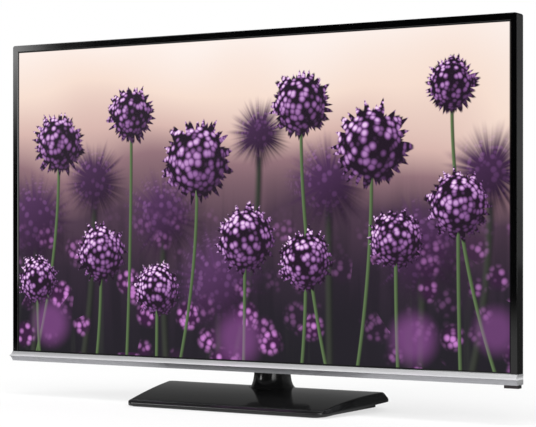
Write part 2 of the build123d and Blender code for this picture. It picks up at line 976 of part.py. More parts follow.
def make_power_inlet():
    y, z = inlet_centre()
    front = -tray_x - tray_wall
    back = front + inlet_depth
    half_width = inlet_width / 2 - inlet_wall
    half_height = inlet_height / 2
    body = block(front, back, y - half_width, y + half_width, z - half_height, z + half_height)
    half_width -= inlet_wall
    half_height -= inlet_wall
    inlet = body - block(front - overrun, back - 2 * inlet_wall, y - half_width, y + half_width,
                         z - half_height, z + half_height)
    for side in (-1, 1):
        pin_y = y + side * inlet_pin_pitch / 2
        inlet += rod_x(back - 2 * inlet_wall - inlet_pin_length, back - inlet_wall, pin_y, z,
                       inlet_pin_radius)
    return inlet


def make_inlet_panel():
    y, z = inlet_centre()
    half_width = inlet_width / 2 - inlet_wall + play
    half_height = inlet_height / 2 + play
    panel = side_tray(-1, inlet_tray_bottom, inlet_tray_height)
    return panel - block(-tray_x - tray_wall - overrun, -tray_x + overrun, y - half_width, y + half_width,
                         z - half_height, z + half_height)


# Loudspeaker boxes that face down, hung on rubber grommets
def speaker_y():
    low = chassis_back + speaker_stand_off
    return low, low + speaker_depth


def ear_places():
    z = speaker_bottom + speaker_height / 2
    near = speaker_near - ear_length / 2
    far = speaker_near + speaker_length + ear_length / 2
    return [(side * x, z) for side in (-1, 1) for x in (near, far)]


def ear_y():
    low = chassis_back + board_lift
    return low, low + ear_thickness


def make_speaker_boxes():
    y_low, y_high = speaker_y()
    z_low = speaker_bottom
    z_high = speaker_bottom + speaker_height
    wall = speaker_wall
    boxes = []
    for side in (-1, 1):
        x_low, x_high = sorted((side * speaker_near, side * (speaker_near + speaker_length)))
        body = block(x_low, x_high, y_low, y_high, z_low, z_high)
        body -= block(x_low + wall, x_high - wall, y_low + wall, y_high - wall, z_low + wall,
                      z_high - wall)
        body -= rod_z((x_low + x_high) / 2, (y_low + y_high) / 2, z_low - overrun, z_low + wall + overrun,
                      driver_radius - driver_rim)
        for x, z in ear_places():
            if side * x > 0:
                body += block(x - ear_length / 2, x + ear_length / 2, *ear_y(), z - ear_height / 2,
                              z + ear_height / 2)
                body -= rod_y(x, ear_y()[0] - overrun, ear_y()[1] + overrun, z, grommet_radius + play)
        boxes.append(body)
    return boxes


# Drivers: a shallow cone in a rim that sits inside the box, with the magnet above
def make_speaker_drivers():
    y_low, y_high = speaker_y()
    y = (y_low + y_high) / 2
    z = speaker_bottom + speaker_wall
    drivers = []
    for side in (-1, 1):
        x = side * (speaker_near + speaker_length / 2)
        rim = rod_z(x, y, z, z + driver_rim, driver_radius)
        mouth = driver_radius - driver_rim
        throat = driver_magnet - driver_rim
        cone = Pos(x, y, z + driver_depth / 2) * Cone(mouth, driver_magnet, driver_depth)
        hollow = Pos(x, y, z + driver_depth / 2 - driver_rim) * Cone(mouth, throat, driver_depth)
        magnet = rod_z(x, y, z + driver_depth - driver_rim, z + 2 * driver_depth, driver_magnet)
        drivers.append(rim + cone + magnet - hollow - rod_z(x, y, z - overrun, z, driver_radius))
    return drivers


def make_speaker_grommets():
    y_low, y_high = ear_y()
    rings = []
    for x, z in ear_places():
        ring = rod_y(x, y_low - grommet_flange, y_high + grommet_flange, z, grommet_radius)
        ring += rod_y(x, y_low - grommet_flange, y_low, z, grommet_flange_radius)
        ring += rod_y(x, y_high, y_high + grommet_flange, z, grommet_flange_radius)
        rings.append(ring - rod_y(x, y_low - overrun, y_high + overrun, z, speaker_screw_radius + play))
    return rings


def make_speaker_screws():
    y_high = ear_y()[1] + grommet_flange
    screws = []
    for x, z in ear_places():
        shaft = rod_y(x, chassis_back, y_high, z, speaker_screw_radius)
        screws.append(shaft + rod_y(x, y_high, y_high + speaker_screw_head_height, z, speaker_screw_head))
    return screws


# Five-way control: a ring tilts in the housing, a rocker tilts in the ring, the cap slides on its stem
def make_control_housing():
    half = control_side / 2
    y_low = chassis_back
    y_high = chassis_back + control_depth
    y = control_pivot_y()
    body = block(control_x - half, control_x + half, y_low, y_high, control_z - half, control_z + half)
    body -= rod_y(control_x, y_low + control_floor, y_high + overrun, control_z, control_bore)
    reach = control_bore + trunnion_lap + running
    return body - rod_x(control_x - reach, control_x + reach, y, control_z, trunnion_radius + running)


def make_control_ring():
    y = control_pivot_y()
    half = ring_thickness / 2
    ring = rod_y(control_x, y - half, y + half, control_z, ring_outer)
    reach = control_bore + trunnion_lap
    ring += rod_x(control_x - reach, control_x + reach, y, control_z, trunnion_radius)
    ring -= rod_y(control_x, y - half - overrun, y + half + overrun, control_z, ring_inner)
    reach = ring_inner + trunnion_lap + running
    return ring - rod_z(control_x, y, control_z - reach, control_z + reach, trunnion_radius + running)


def make_control_rocker():
    y = control_pivot_y()
    half = ring_thickness / 2
    rocker = rod_y(control_x, y - half, y + half, control_z, rocker_radius)
    reach = ring_inner + trunnion_lap
    rocker += rod_z(control_x, y, control_z - reach, control_z + reach, trunnion_radius)
    return rocker + rod_y(control_x, y, y + stem_length, control_z, stem_radius)


def make_control_cap():
    y = control_pivot_y()
    y_low = y + cap_lift
    cap = rod_y(control_x, y_low, y_low + cap_height, control_z, cap_radius)
    cap = fillet(cap.edges().sort_by(Axis.Y)[-1], cap_dome)
    bore_end = y + stem_length + cap_travel + clear
    return cap - rod_y(control_x, y_low - overrun, bore_end, control_z, stem_radius + running)


# Steel bracket on the chassis that carries the neck
def bracket_screw_places():
    x = bracket_half + bracket_foot / 2
    return [(side * x, z) for side in (-1, 1) for z in (neck_screw_low, neck_screw_high)]


def neck_screw_places():
    return [(side * neck_screw_x, z) for side in (-1, 1) for z in (neck_screw_low, neck_screw_high)]


def make_stand_bracket():
    sheet = bracket_sheet
    body = block(-bracket_half, bracket_half, chassis_back, bracket_back + flange_thickness,
                 bracket_bottom, bracket_top)
    body -= block(-bracket_half + sheet, bracket_half - sheet, chassis_back - overrun,
                  bracket_back + flange_thickness - sheet, bracket_bottom - overrun, bracket_top - sheet)
    foot = bracket_half + bracket_foot
    body += block(-foot, -bracket_half + sheet, chassis_back, chassis_back + sheet, bracket_bottom,
                  bracket_top)
    body += block(bracket_half - sheet, foot, chassis_back, chassis_back + sheet, bracket_bottom,
                  bracket_top)
    holes = [rod_y(x, bracket_back - overrun, flange_back + overrun, z, neck_screw_radius + play)
             for x, z in neck_screw_places()]
    holes += [rod_y(x, chassis_back - overrun, chassis_back + sheet + overrun, z,
                    board_screw_radius + play)
              for x, z in bracket_screw_places()]
    return body - holes


def make_bracket_screws():
    y = chassis_back + bracket_sheet
    screws = []
    for x, z in bracket_screw_places():
        shaft = rod_y(x, chassis_back, y, z, board_screw_radius)
        screws.append(shaft + rod_y(x, y, y + board_screw_head_height, z, board_screw_head))
    return screws


# Cast core inside the neck: foot disc, pivot pin, post and the upright flange that is screwed to the bracket
def make_neck_core():
    core = rod_z(0, neck_y, core_bottom, core_top, core_radius)
    core += rod_z(0, neck_y, core_bottom, core_bottom + core_disc, core_disc_radius)
    core += rod_z(0, neck_y, core_bottom - pivot_length, core_bottom, pivot_radius)
    core += block(-flange_half, flange_half, flange_back, bulge_back, flange_bottom, flange_top)
    core += block(-core_radius, core_radius, flange_back, neck_y, flange_bottom - core_disc, core_top)
    holes = [rod_y(x, flange_back - overrun, bulge_back + overrun, z, neck_screw_radius + play)
             for x, z in neck_screw_places()]
    return core - holes


def make_neck_screws():
    screws = []
    for x, z in neck_screw_places():
        shaft = rod_y(x, flange_back - bracket_sheet, bulge_back, z, neck_screw_radius)
        head = rod_y(x, bulge_back, bulge_back + neck_screw_head_height, z, neck_screw_head)
        screws.append(shaft + head)
    return screws


# Glossy sleeve: round at the foot, steep in front, oval where it meets the cover of the bracket
def sleeve_form(inset, z_shift):
    rows = [(neck_foot_z - z_shift, neck_foot_radius, neck_foot_radius),
            (neck_waist_z, neck_waist_radius, neck_waist_radius),
            (neck_middle_z, neck_middle_radius, neck_middle_radius),
            (neck_shoulder_z, neck_shoulder_radius, neck_shoulder_radius),
            (bracket_cover_bottom + z_shift, neck_top_x, neck_top_y)]
    sections = [Pos(0, neck_y, z) * Ellipse(x - inset, y - inset) for z, x, y in rows]
    return loft(sections)


def make_neck_sleeve():
    return sleeve_form(0, 0) - sleeve_form(neck_wall, play)


# Cover behind the bracket that closes the rear of the neck
def make_bracket_cover():
    half = bracket_cover_half
    wall = bracket_cover_wall
    y_high = bulge_back + bracket_cover_depth
    y_low = bulge_back - bracket_cover_reach
    body = block(-half, half, y_low, y_high, bracket_cover_bottom, bracket_cover_top)
    upright_edges = body.edges().filter_by(Axis.Z).group_by(Axis.Y)[-1]
    body = fillet(upright_edges, bracket_cover_round)
    inner = block(-half + wall, half - wall, y_low + wall, y_high - wall, bracket_cover_bottom + wall,
                  bracket_cover_top - wall)
    inner = fillet(inner.edges().filter_by(Axis.Z).group_by(Axis.Y)[-1], bracket_cover_round - wall)
    body -= inner
    body -= cover_bulge_form(0)
    body -= block(-half + wall, half - wall, y_low - overrun, bulge_back, bracket_cover_bottom + wall,
                  bracket_cover_top)
    opening = Ellipse(neck_top_x - neck_wall, neck_top_y - neck_wall)
    return body - extrude(Pos(0, neck_y, bracket_cover_bottom - overrun) * opening, amount=wall + 2 * overrun)


# Swivel: a fixed steel plate, a slippery washer, and the nut and washer on the pin below
def make_swivel_plate():
    z_low = swivel_top - swivel_thickness
    plate = rod_z(0, neck_y, z_low, swivel_top, swivel_radius)
    for x in (-swivel_pillar_offset, swivel_pillar_offset):
        for y in (neck_y - swivel_pillar_offset, neck_y + swivel_pillar_offset):
            plate += rod_z(x, y, weight_top, swivel_top, swivel_pillar)
    return plate - rod_z(0, neck_y, z_low - overrun, swivel_top + overrun, pivot_radius + running)


def make_swivel_washer():
    ring = rod_z(0, neck_y, swivel_top, swivel_top + swivel_washer_thickness, swivel_radius)
    return ring - rod_z(0, neck_y, swivel_top - overrun, core_bottom + overrun, pivot_radius + clear)


def make_pivot_washer():
    z_high = swivel_top - swivel_thickness - play
    ring = rod_z(0, neck_y, z_high - pivot_washer_thickness, z_high, pivot_washer_radius)
    return ring - rod_z(0, neck_y, z_high - overrun, z_high + overrun, pivot_radius + running)


def make_pivot_nut():
    z_high = swivel_top - swivel_thickness - play - pivot_washer_thickness
    z_low = z_high - pivot_nut_height
    outline = Pos(0, neck_y, z_low) * RegularPolygon(pivot_nut_radius, pivot_nut_sides)
    nut = extrude(outline, amount=pivot_nut_height)
    return nut - rod_z(0, neck_y, z_low - overrun, z_high + overrun, pivot_radius + running)


# Base form: an upright outline, cut by a side profile that is low in front and highest at the crest
def base_outline(inset):
    right = [(base_front_half, -base_half_depth), (base_crest_half, base_crest_y),
             (base_back_half, base_half_depth)]
    left = [(-x, y) for x, y in reversed(right)]
    outline = fillet(make_face(Polyline(*right, *left, close=True)).vertices(), base_corner)
    return offset(outline, amount=-inset) if inset else outline


def base_profile(drop, low_points):
    lip = (-base_half_depth, base_lip_high - drop)
    front = (-base_half_depth + base_front_chamfer, base_front_high - drop)
    crest = (base_crest_y, base_crest_high - drop)
    back = (base_half_depth, base_back_high - drop)
    rise = SagittaArc(front, crest, base_front_swell)
    fall = SagittaArc(crest, back, base_back_swell)
    return Plane.YZ * make_face(Line(lip, front) + rise + fall + Polyline(back, *low_points, lip))


# Everything above the sloping sides, which rise from the upper edge of the lip to the top
def above_base_slopes(drop):
    cuts = []
    for side in (-1, 1):
        corner = Vector(side * base_crest_half, base_crest_y, base_crest_lip - drop)
        crease = Vector(side * (base_crest_half - base_slope_run), base_crest_y, base_crest_high - drop)
        front = Vector(side * base_front_half, -base_half_depth, base_lip_high - drop)
        back = Vector(side * base_back_half, base_half_depth, base_back_lip - drop)
        for end in (front, back):
            normal = (end - corner).cross(crease - corner)
            plane = Plane(origin=corner, x_dir=end - corner, z_dir=normal if normal.Z > 0 else -normal)
            above = Pos(0, 0, base_half_depth) * Box(4 * base_depth, 4 * base_depth, base_depth)
            cuts.append(plane * above)
    return cuts


def base_form():
    low = [(base_half_depth, base_back_low), (base_crest_y, base_crest_low),
           (-base_half_depth, base_front_low)]
    side = Pos(-screen_half, 0, 0) * base_profile(0, low)
    solid = extrude(base_outline(0), amount=base_crest_high) & extrude(side, amount=2 * screen_half)
    return solid - above_base_slopes(0)


# The same form carried straight down below its lower edge, for hollows
def base_hollow(inset):
    solid = Pos(0, 0, -overrun) * extrude(base_outline(inset), amount=base_crest_high + overrun)
    low = [(base_half_depth, -overrun), (-base_half_depth, -overrun)]
    side = Pos(-screen_half, 0, 0) * base_profile(inset, low)
    return (solid & extrude(side, amount=2 * screen_half)) - above_base_slopes(inset)


def boss_places():
    front = [(side * boss_front_x, boss_front_y) for side in (-1, 1)]
    return front + [(side * boss_back_x, boss_back_y) for side in (-1, 1)]


def make_base_cover():
    cover = base_form() - base_hollow(base_wall)
    pad_top = neck_foot_z - clear
    pad_low = pad_top - base_wall - pad_ring
    cover += rod_z(0, neck_y, pad_low, pad_top, pad_radius)
    collar = rod_z(0, neck_y, base_back_lip, pad_top, pad_radius)
    cover += collar - rod_z(0, neck_y, base_back_lip - overrun, pad_low, pad_radius - base_wall)
    cover -= rod_z(0, neck_y, pad_top, base_crest_high + overrun, neck_foot_radius + pad_ring)
    cover -= rod_z(0, neck_y, pan_top, base_crest_high + overrun, swivel_radius + pad_opening_margin)
    for x, y in boss_places():
        cover += rod_z(x, y, pan_top, base_crest_high, boss_radius) & base_hollow(base_wall / 2)
        cover -= rod_z(x, y, pan_top - overrun, pan_top + base_screw_length, base_screw_radius + running)
    return cover


# Pan under the cover: a floor, and low walls that stay inside the cover
def make_base_pan():
    y_low = -base_half_depth + pan_inset
    y_high = base_half_depth - pan_back_inset
    middle = (y_low + y_high) / 2
    outline = Pos(0, middle) * RectangleRounded(2 * pan_half_width, y_high - y_low, pan_corner)
    pan = Pos(0, 0, pan_lift) * extrude(outline, amount=pan_floor)
    inset = base_wall + clear
    wall_high = base_crest_low + pan_rise
    outer = extrude(outline, amount=wall_high) & base_hollow(inset)
    inner = block(-pan_half_width + pan_wall, pan_half_width - pan_wall, y_low + inset + pan_wall,
                  y_high - pan_wall, -overrun, wall_high)
    pan += outer - inner - block(-screen_half, screen_half, -base_depth, base_depth, -overrun, pan_lift)
    for x, y in boss_places():
        pan -= rod_z(x, y, pan_lift - overrun, pan_top + overrun, base_screw_radius + play)
        pan -= rod_z(x, y, pan_lift - overrun, pan_lift + base_screw_head_height, base_screw_head + play)
    return pan


def make_base_weight():
    half = pan_half_width - weight_margin
    plate = block(-half, half, -base_half_depth + weight_margin, base_half_depth - weight_margin, pan_top,
                  weight_top)
    holes = [rod_z(x, y, pan_top - overrun, weight_top + overrun, boss_radius + clear)
             for x, y in boss_places()]
    return plate - holes


def make_base_feet():
    x_edge = pan_half_width - foot_margin
    y_edge = base_half_depth - foot_margin
    return [rod_z(x, y, 0, pan_lift, foot_radius)
            for x in (-x_edge, 0, x_edge) for y in (-y_edge, y_edge)]


def make_base_screws():
    screws = []
    for x, y in boss_places():
        bearing = pan_lift + base_screw_head_height
        shaft = rod_z(x, y, bearing, pan_top + base_screw_length - clear, base_screw_radius)
        screws.append(shaft + rod_z(x, y, pan_lift, bearing, base_screw_head))
    return screws


os.makedirs("parts", exist_ok=True)

save("front_bezel", make_front_bezel())
save("bottom_trim", make_bottom_trim())
save("trim_end_caps", *make_trim_end_caps())
save("sensor_housing", make_sensor_housing())
save("sensor_window", make_sensor_window())
save("sensor_board", make_sensor_board())
save("lcd_cell", make_lcd_cell())
save("middle_frame", make_middle_frame())
save("optical_films", *make_optical_films())
save("diffuser_plate", make_diffuser_plate())
save("reflector_sheet", make_reflector_sheet())
save("led_bars", *make_led_bars())
save("led_lenses", *make_led_lenses())
save("back_chassis", make_back_chassis())
save("rear_cover", make_rear_cover())
save("rear_cover_screws", *make_rear_cover_screws())
save("wall_mount_posts", *make_wall_mount_posts())
save("main_board", make_main_board())
save("power_board", make_power_board())
save("timing_board", make_timing_board())
save("board_standoffs", *make_board_standoffs())
save("board_screws", *make_board_screws())
save("heat_sinks", *make_heat_sinks())
save("power_capacitors", *make_power_capacitors())
save("power_transformers", *make_power_transformers())
save("signal_ribbon", make_signal_ribbon())
save("power_harness", *make_power_harness())
save("speaker_cables", *make_speaker_cables())
save("display_sockets", *make_display_sockets())
save("data_socket", make_data_socket())
save("network_socket", make_network_socket())
save("aerial_socket", make_aerial_socket())
save("audio_jack", make_audio_jack())
save("socket_panel", make_socket_panel())
save("power_inlet", make_power_inlet())
save("inlet_panel", make_inlet_panel())
save("speaker_boxes", *make_speaker_boxes())
save("speaker_drivers", *make_speaker_drivers())
save("speaker_grommets", *make_speaker_grommets())
save("speaker_screws", *make_speaker_screws())
save("control_housing", make_control_housing())
save("control_ring", make_control_ring())
save("control_rocker", make_control_rocker())
save("control_cap", make_control_cap())
save("stand_bracket", make_stand_bracket())
save("bracket_screws", *make_bracket_screws())
save("bracket_cover", make_bracket_cover())
save("neck_core", make_neck_core())
save("neck_sleeve", make_neck_sleeve())
save("neck_screws", *make_neck_screws())
save("swivel_plate", make_swivel_plate())
save("swivel_washer", make_swivel_washer())
save("pivot_washer", make_pivot_washer())
save("pivot_nut", make_pivot_nut())
save("base_cover", make_base_cover())
save("base_pan", make_base_pan())
save("base_weight", make_base_weight())
save("base_feet", *make_base_feet())
save("base_screws", *make_base_screws())
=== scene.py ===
import bpy
import bmesh
import math
import random
from mathutils import Matrix, Vector


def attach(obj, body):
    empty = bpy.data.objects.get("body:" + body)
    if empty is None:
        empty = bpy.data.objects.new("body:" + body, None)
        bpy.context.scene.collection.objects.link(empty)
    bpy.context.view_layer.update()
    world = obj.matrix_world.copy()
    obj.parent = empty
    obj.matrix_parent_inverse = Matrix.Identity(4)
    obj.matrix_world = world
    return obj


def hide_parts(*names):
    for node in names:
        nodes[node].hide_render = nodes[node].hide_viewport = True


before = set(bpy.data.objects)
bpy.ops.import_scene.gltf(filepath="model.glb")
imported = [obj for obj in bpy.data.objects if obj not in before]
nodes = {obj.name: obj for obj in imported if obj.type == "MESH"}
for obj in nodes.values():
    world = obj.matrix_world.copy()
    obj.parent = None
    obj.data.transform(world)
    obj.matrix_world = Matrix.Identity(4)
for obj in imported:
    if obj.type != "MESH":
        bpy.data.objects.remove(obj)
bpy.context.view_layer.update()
print("frame loaded,", len(nodes), "pieces")


def addObject(name, data):
    item = bpy.data.objects.new(name, data)
    bpy.context.scene.collection.objects.link(item)
    return item


# camera at the photographed angle
cameraView = {"place": (1.4226, -2.3209, 0.2815), "turn": 31.045, "lens": 117.6, "shiftUp": 0.0231}
cameraData = bpy.data.cameras.new("photoCamera")
cameraData.sensor_width = 36
cameraData.lens = cameraView["lens"]
cameraData.shift_y = cameraView["shiftUp"]
cameraData.clip_start = 0.05
cameraData.clip_end = 60
camera = addObject("photoCamera", cameraData)
camera.location = cameraView["place"]
camera.rotation_euler = (math.radians(90), 0, math.radians(cameraView["turn"]))
bpy.context.scene.camera = camera
bpy.context.scene.view_settings.view_transform = "Standard"
print("camera placed")


# small helpers for node trees
def link(tree, source, target):
    tree.links.new(source, target)


def addNode(tree, kind, **settings):
    node = tree.nodes.new(kind)
    for name, value in settings.items():
        setattr(node, name, value)
    return node


def setInput(tree, node, name, value):
    # a socket gets either a value or a link
    socket = node.inputs[name]
    if isinstance(value, bpy.types.NodeSocket):
        tree.links.new(value, socket)
    else:
        socket.default_value = value


def mathNode(tree, operation, first, second=0.0, clamp=False):
    node = addNode(tree, "ShaderNodeMath", operation=operation, use_clamp=clamp)
    setInput(tree, node, 0, first)
    setInput(tree, node, 1, second)
    return node.outputs[0]


def product(tree, value, *factors):
    for factor in factors:
        value = mathNode(tree, "MULTIPLY", value, factor)
    return value


def vectorMath(tree, operation, first, second=None, scale=None):
    node = addNode(tree, "ShaderNodeVectorMath", operation=operation)
    setInput(tree, node, 0, first)
    if second is not None:
        setInput(tree, node, 1, second)
    if scale is not None:
        setInput(tree, node, "Scale", scale)
    return node.outputs["Value" if operation in ("LENGTH", "DISTANCE", "DOT_PRODUCT") else "Vector"]


def axesOf(tree, vector):
    node = addNode(tree, "ShaderNodeSeparateXYZ")
    link(tree, vector, node.inputs[0])
    return [node.outputs[axis] for axis in "XYZ"]


def vectorOf(tree, x=0.0, y=0.0, z=0.0):
    node = addNode(tree, "ShaderNodeCombineXYZ")
    for axis, value in zip("XYZ", (x, y, z)):
        setInput(tree, node, axis, value)
    return node.outputs[0]


def pattern(tree, kind, vector, scale, detail=None):
    # the outputs of a noise or cell texture
    node = addNode(tree, "ShaderNodeTex" + kind)
    setInput(tree, node, "Vector", vector)
    setInput(tree, node, "Scale", scale)
    if detail is not None:
        setInput(tree, node, "Detail", detail)
    return node.outputs


def objectPlace(tree):
    return addNode(tree, "ShaderNodeTexCoord").outputs["Object"]


def facing(tree):
    # the axes of the face normal
    return axesOf(tree, addNode(tree, "ShaderNodeNewGeometry").outputs["Normal"])


def mixColour(tree, share, first, second, blend="MIX"):
    node = addNode(tree, "ShaderNodeMix", data_type="RGBA", blend_type=blend)
    setInput(tree, node, 0, share)
    setInput(tree, node, 6, first)
    setInput(tree, node, 7, second)
    return node.outputs[2]


def rangeNode(tree, value, lowIn, highIn, lowOut, highOut, kind="LINEAR"):
    node = addNode(tree, "ShaderNodeMapRange", interpolation_type=kind)
    for name, number in (("Value", value), ("From Min", lowIn), ("From Max", highIn),
                         ("To Min", lowOut), ("To Max", highOut)):
        setInput(tree, node, name, number)
    return node.outputs["Result"]


def rampNode(tree, value, stops):
    node = addNode(tree, "ShaderNodeValToRGB")
    ramp = node.color_ramp
    while len(ramp.elements) < len(stops):
        ramp.elements.new(0.5)
    for element, (place, colour) in zip(ramp.elements, stops):
        element.position = place
        element.color = (*colour, 1)
    setInput(tree, node, "Fac", value)
    return node.outputs["Color"]


def greyRamp(tree, value, stops):
    return rampNode(tree, value, [(place, (level, level, level)) for place, level in stops])


def blendShaders(tree, share, first, second):
    node = addNode(tree, "ShaderNodeMixShader")
    for index, source in enumerate((share, first, second)):
        link(tree, source, node.inputs[index])
    return node.outputs[0]


def newGroup(name, inputs, outputs, family="ShaderNodeTree"):
    group = bpy.data.node_groups.new(name, family)
    for title, kind, default in inputs:
        socket = group.interface.new_socket(name=title, in_out="INPUT", socket_type=kind)
        if default is not None:
            socket.default_value = default
    for title, kind in outputs:
        group.interface.new_socket(name=title, in_out="OUTPUT", socket_type=kind)
    return group, group.nodes.new("NodeGroupInput"), group.nodes.new("NodeGroupOutput")


def useGroup(tree, group, **values):
    node = addNode(tree, "ShaderNodeGroup", node_tree=group)
    for name, value in values.items():
        setInput(tree, node, name, value)
    return node


# effects that several finishes share
def makeGrainGroup():
    # moulded or painted surface: fine bumps over a slow waviness
    group, source, result = newGroup(
        "surfaceGrain",
        [("Scale", "NodeSocketFloat", 900.0), ("Waviness", "NodeSocketFloat", 0.2)],
        [("Height", "NodeSocketFloat"), ("Patches", "NodeSocketFloat")])
    wavesPerMetre = 14.0
    place = objectPlace(group)
    fine = pattern(group, "Noise", place, source.outputs["Scale"], 2.0)["Fac"]
    wide = pattern(group, "Noise", place, wavesPerMetre, 3.0)["Fac"]
    wave = product(group, wide, source.outputs["Waviness"])
    link(group, mathNode(group, "ADD", fine, wave), result.inputs["Height"])
    link(group, rangeNode(group, wide, 0.35, 0.7, 0.0, 1.0), result.inputs["Patches"])
    return group


def makeDustGroup():
    # faint dust that settles on faces that look up
    group, source, result = newGroup(
        "settledDust",
        [("Amount", "NodeSocketFloat", 0.1), ("Speck Scale", "NodeSocketFloat", 700.0)],
        [("Mask", "NodeSocketFloat")])
    upward = rangeNode(group, facing(group)[2], 0.2, 1.0, 0.0, 1.0, "SMOOTHSTEP")
    specks = pattern(group, "Noise", objectPlace(group), source.outputs["Speck Scale"], 4.0)["Fac"]
    settled = product(group, upward, rangeNode(group, specks, 0.5, 0.72, 0.0, 1.0))
    link(group, mathNode(group, "MULTIPLY", settled, source.outputs["Amount"], True), result.inputs["Mask"])
    return group


def makeStreakGroup():
    # fine streaks along X, as on brushed or drawn metal
    group, source, result = newGroup(
        "drawnStreaks",
        [("Along", "NodeSocketFloat", 6.0), ("Across", "NodeSocketFloat", 1600.0)],
        [("Value", "NodeSocketFloat")])
    x, y, z = axesOf(group, objectPlace(group))
    along, across = source.outputs["Along"], source.outputs["Across"]
    stretched = vectorOf(group, product(group, x, along), product(group, y, across),
                         product(group, z, across))
    link(group, pattern(group, "Noise", stretched, 1.0, 2.0)["Fac"], result.inputs["Value"])
    return group


surfaceGrain = makeGrainGroup()
settledDust = makeDustGroup()
drawnStreaks = makeStreakGroup()


def newMaterial(name, colour, roughness, metallic=0.0, **sockets):
    material = bpy.data.materials.new(name)
    material.use_nodes = True
    tree = material.node_tree
    shader = tree.nodes["Principled BSDF"]
    shader.inputs["Base Color"].default_value = (*colour, 1)
    shader.inputs["Roughness"].default_value = roughness
    shader.inputs["Metallic"].default_value = metallic
    for socket, value in sockets.items():
        shader.inputs[socket].default_value = value
    material.diffuse_color = (*colour, 1)
    return material, tree, shader


def addBump(tree, shader, height, depth):
    bump = addNode(tree, "ShaderNodeBump")
    bump.inputs["Distance"].default_value = depth
    bump.inputs["Strength"].default_value = 1.0
    link(tree, height, bump.inputs["Height"])
    link(tree, bump.outputs["Normal"], shader.inputs["Normal"])


def shaded(colour, factor):
    return (*[min(1, c * factor) for c in colour], 1)


def plasticFinish(name, colour, roughness, grainScale, grainDepth, dust=0.0, **sockets):
    # plastic or rubber: grain in the bumps, patches in the roughness, dust on top
    spread, dustColour = 0.25, (0.35, 0.34, 0.33, 1)
    material, tree, shader = newMaterial(name, colour, roughness, **sockets)
    grain = useGroup(tree, surfaceGrain, Scale=grainScale).outputs
    rough = rangeNode(tree, grain["Patches"], 0.0, 1.0, roughness * (1 - spread), roughness * (1 + spread))
    tint = mixColour(tree, grain["Patches"], shaded(colour, 0.92), shaded(colour, 1.08))
    if dust:
        film = useGroup(tree, settledDust, Amount=dust).outputs["Mask"]
        tint = mixColour(tree, film, tint, dustColour)
        rough = mathNode(tree, "ADD", rough, film, True)
    link(tree, tint, shader.inputs["Base Color"])
    link(tree, rough, shader.inputs["Roughness"])
    addBump(tree, shader, grain["Height"], grainDepth)
    return material


def metalFinish(name, colour, roughness, along, across):
    # drawn, brushed or painted metal with streaks along X
    spread, streakDepth = 0.3, 0.00001
    material, tree, shader = newMaterial(name, colour, roughness, 1.0)
    streaks = useGroup(tree, drawnStreaks, Along=along, Across=across).outputs["Value"]
    rough = rangeNode(tree, streaks, 0.3, 0.7, roughness * (1 - spread), roughness * (1 + spread))
    tint = mixColour(tree, streaks, shaded(colour, 0.9), shaded(colour, 1.06))
    link(tree, tint, shader.inputs["Base Color"])
    link(tree, rough, shader.inputs["Roughness"])
    addBump(tree, shader, streaks, streakDepth)
    return material


# heights of the trim strip, and its tones from the lower edge (0) to the upper edge (1): a painted highlight
# on the nose, with painted shade above and below it
trimSizes = {
    "low": 0.0600, "high": 0.0725,
    "paintedLightTones": [(0.0, 0.36), (0.30, 0.40), (0.38, 0.88), (0.45, 0.95), (0.56, 0.70), (0.72, 0.44), (1.0, 0.30)],
    # the darker under colour is painted shade for faces that look down
    "colour": (0.60, 0.60, 0.62), "paintedUnderShade": (0.34, 0.34, 0.36, 1), "roughness": 0.34, "metallic": 0.30,
    "roughRange": (0.27, 0.41), "streakDepth": 0.000004,
}


def makeTrimSilver():
    # silver: fine streaks along the strip, a painted highlight on its nose, painted shade above and below it,
    # and painted shade on faces that look down
    s = trimSizes
    material, tree, shader = newMaterial("trimSilver", s["colour"], s["roughness"], s["metallic"])
    streaks = useGroup(tree, drawnStreaks, Along=20.0, Across=1400.0).outputs["Value"]
    # painted shade: faces that look down are darkened
    under = rangeNode(tree, facing(tree)[2], -0.55, -0.05, 1.0, 0.0, "SMOOTHSTEP")
    level = rangeNode(tree, axesOf(tree, objectPlace(tree))[2], s["low"], s["high"], 0.0, 1.0)
    # painted highlight on the nose and painted shade above and below it, by height on the strip
    paintedLightRamp = rampNode(tree, level, [(stop, (value, value, value * 1.02)) for stop, value in s["paintedLightTones"]])
    streaky = rangeNode(tree, streaks, 0.3, 0.7, 0.93, 1.05)
    tint = mixColour(tree, 1.0, paintedLightRamp, streaky, "MULTIPLY")
    tint = mixColour(tree, under, tint, s["paintedUnderShade"])
    link(tree, tint, shader.inputs["Base Color"])
    link(tree, rangeNode(tree, streaks, 0.3, 0.7, *s["roughRange"]), shader.inputs["Roughness"])
    addBump(tree, shader, streaks, s["streakDepth"])
    return material


glossBlack = plasticFinish("glossBlack", (0.0008, 0.0008, 0.0009), 0.07, 120.0, 0.0000015, dust=0.006)
baseBlack = plasticFinish("baseBlack", (0.0080, 0.0080, 0.0084), 0.10, 120.0, 0.0000015, dust=0.008,
                          **{"Specular IOR Level": 0.42})
neckBlack = plasticFinish("neckBlack", (0.0095, 0.0095, 0.0099), 0.16, 120.0, 0.0000015, dust=0.008)
trimSilver = makeTrimSilver()
textureBlack = plasticFinish("textureBlack", (0.022, 0.022, 0.023), 0.48, 1500.0, 0.00005, dust=0.06)
sootBlack = plasticFinish("sootBlack", (0.012, 0.012, 0.012), 0.6, 900.0, 0.00003)
screwSteel = metalFinish("screwSteel", (0.50, 0.50, 0.51), 0.32, 60.0, 2000.0)
sheetSteel = metalFinish("sheetSteel", (0.56, 0.57, 0.58), 0.38, 5.0, 500.0)
aluminium = metalFinish("aluminium", (0.72, 0.73, 0.74), 0.3, 8.0, 900.0)
whitePlastic = plasticFinish("whitePlastic", (0.80, 0.80, 0.79), 0.45, 800.0, 0.00002)
rubber = plasticFinish("rubber", (0.018, 0.018, 0.018), 0.8, 1800.0, 0.00004)
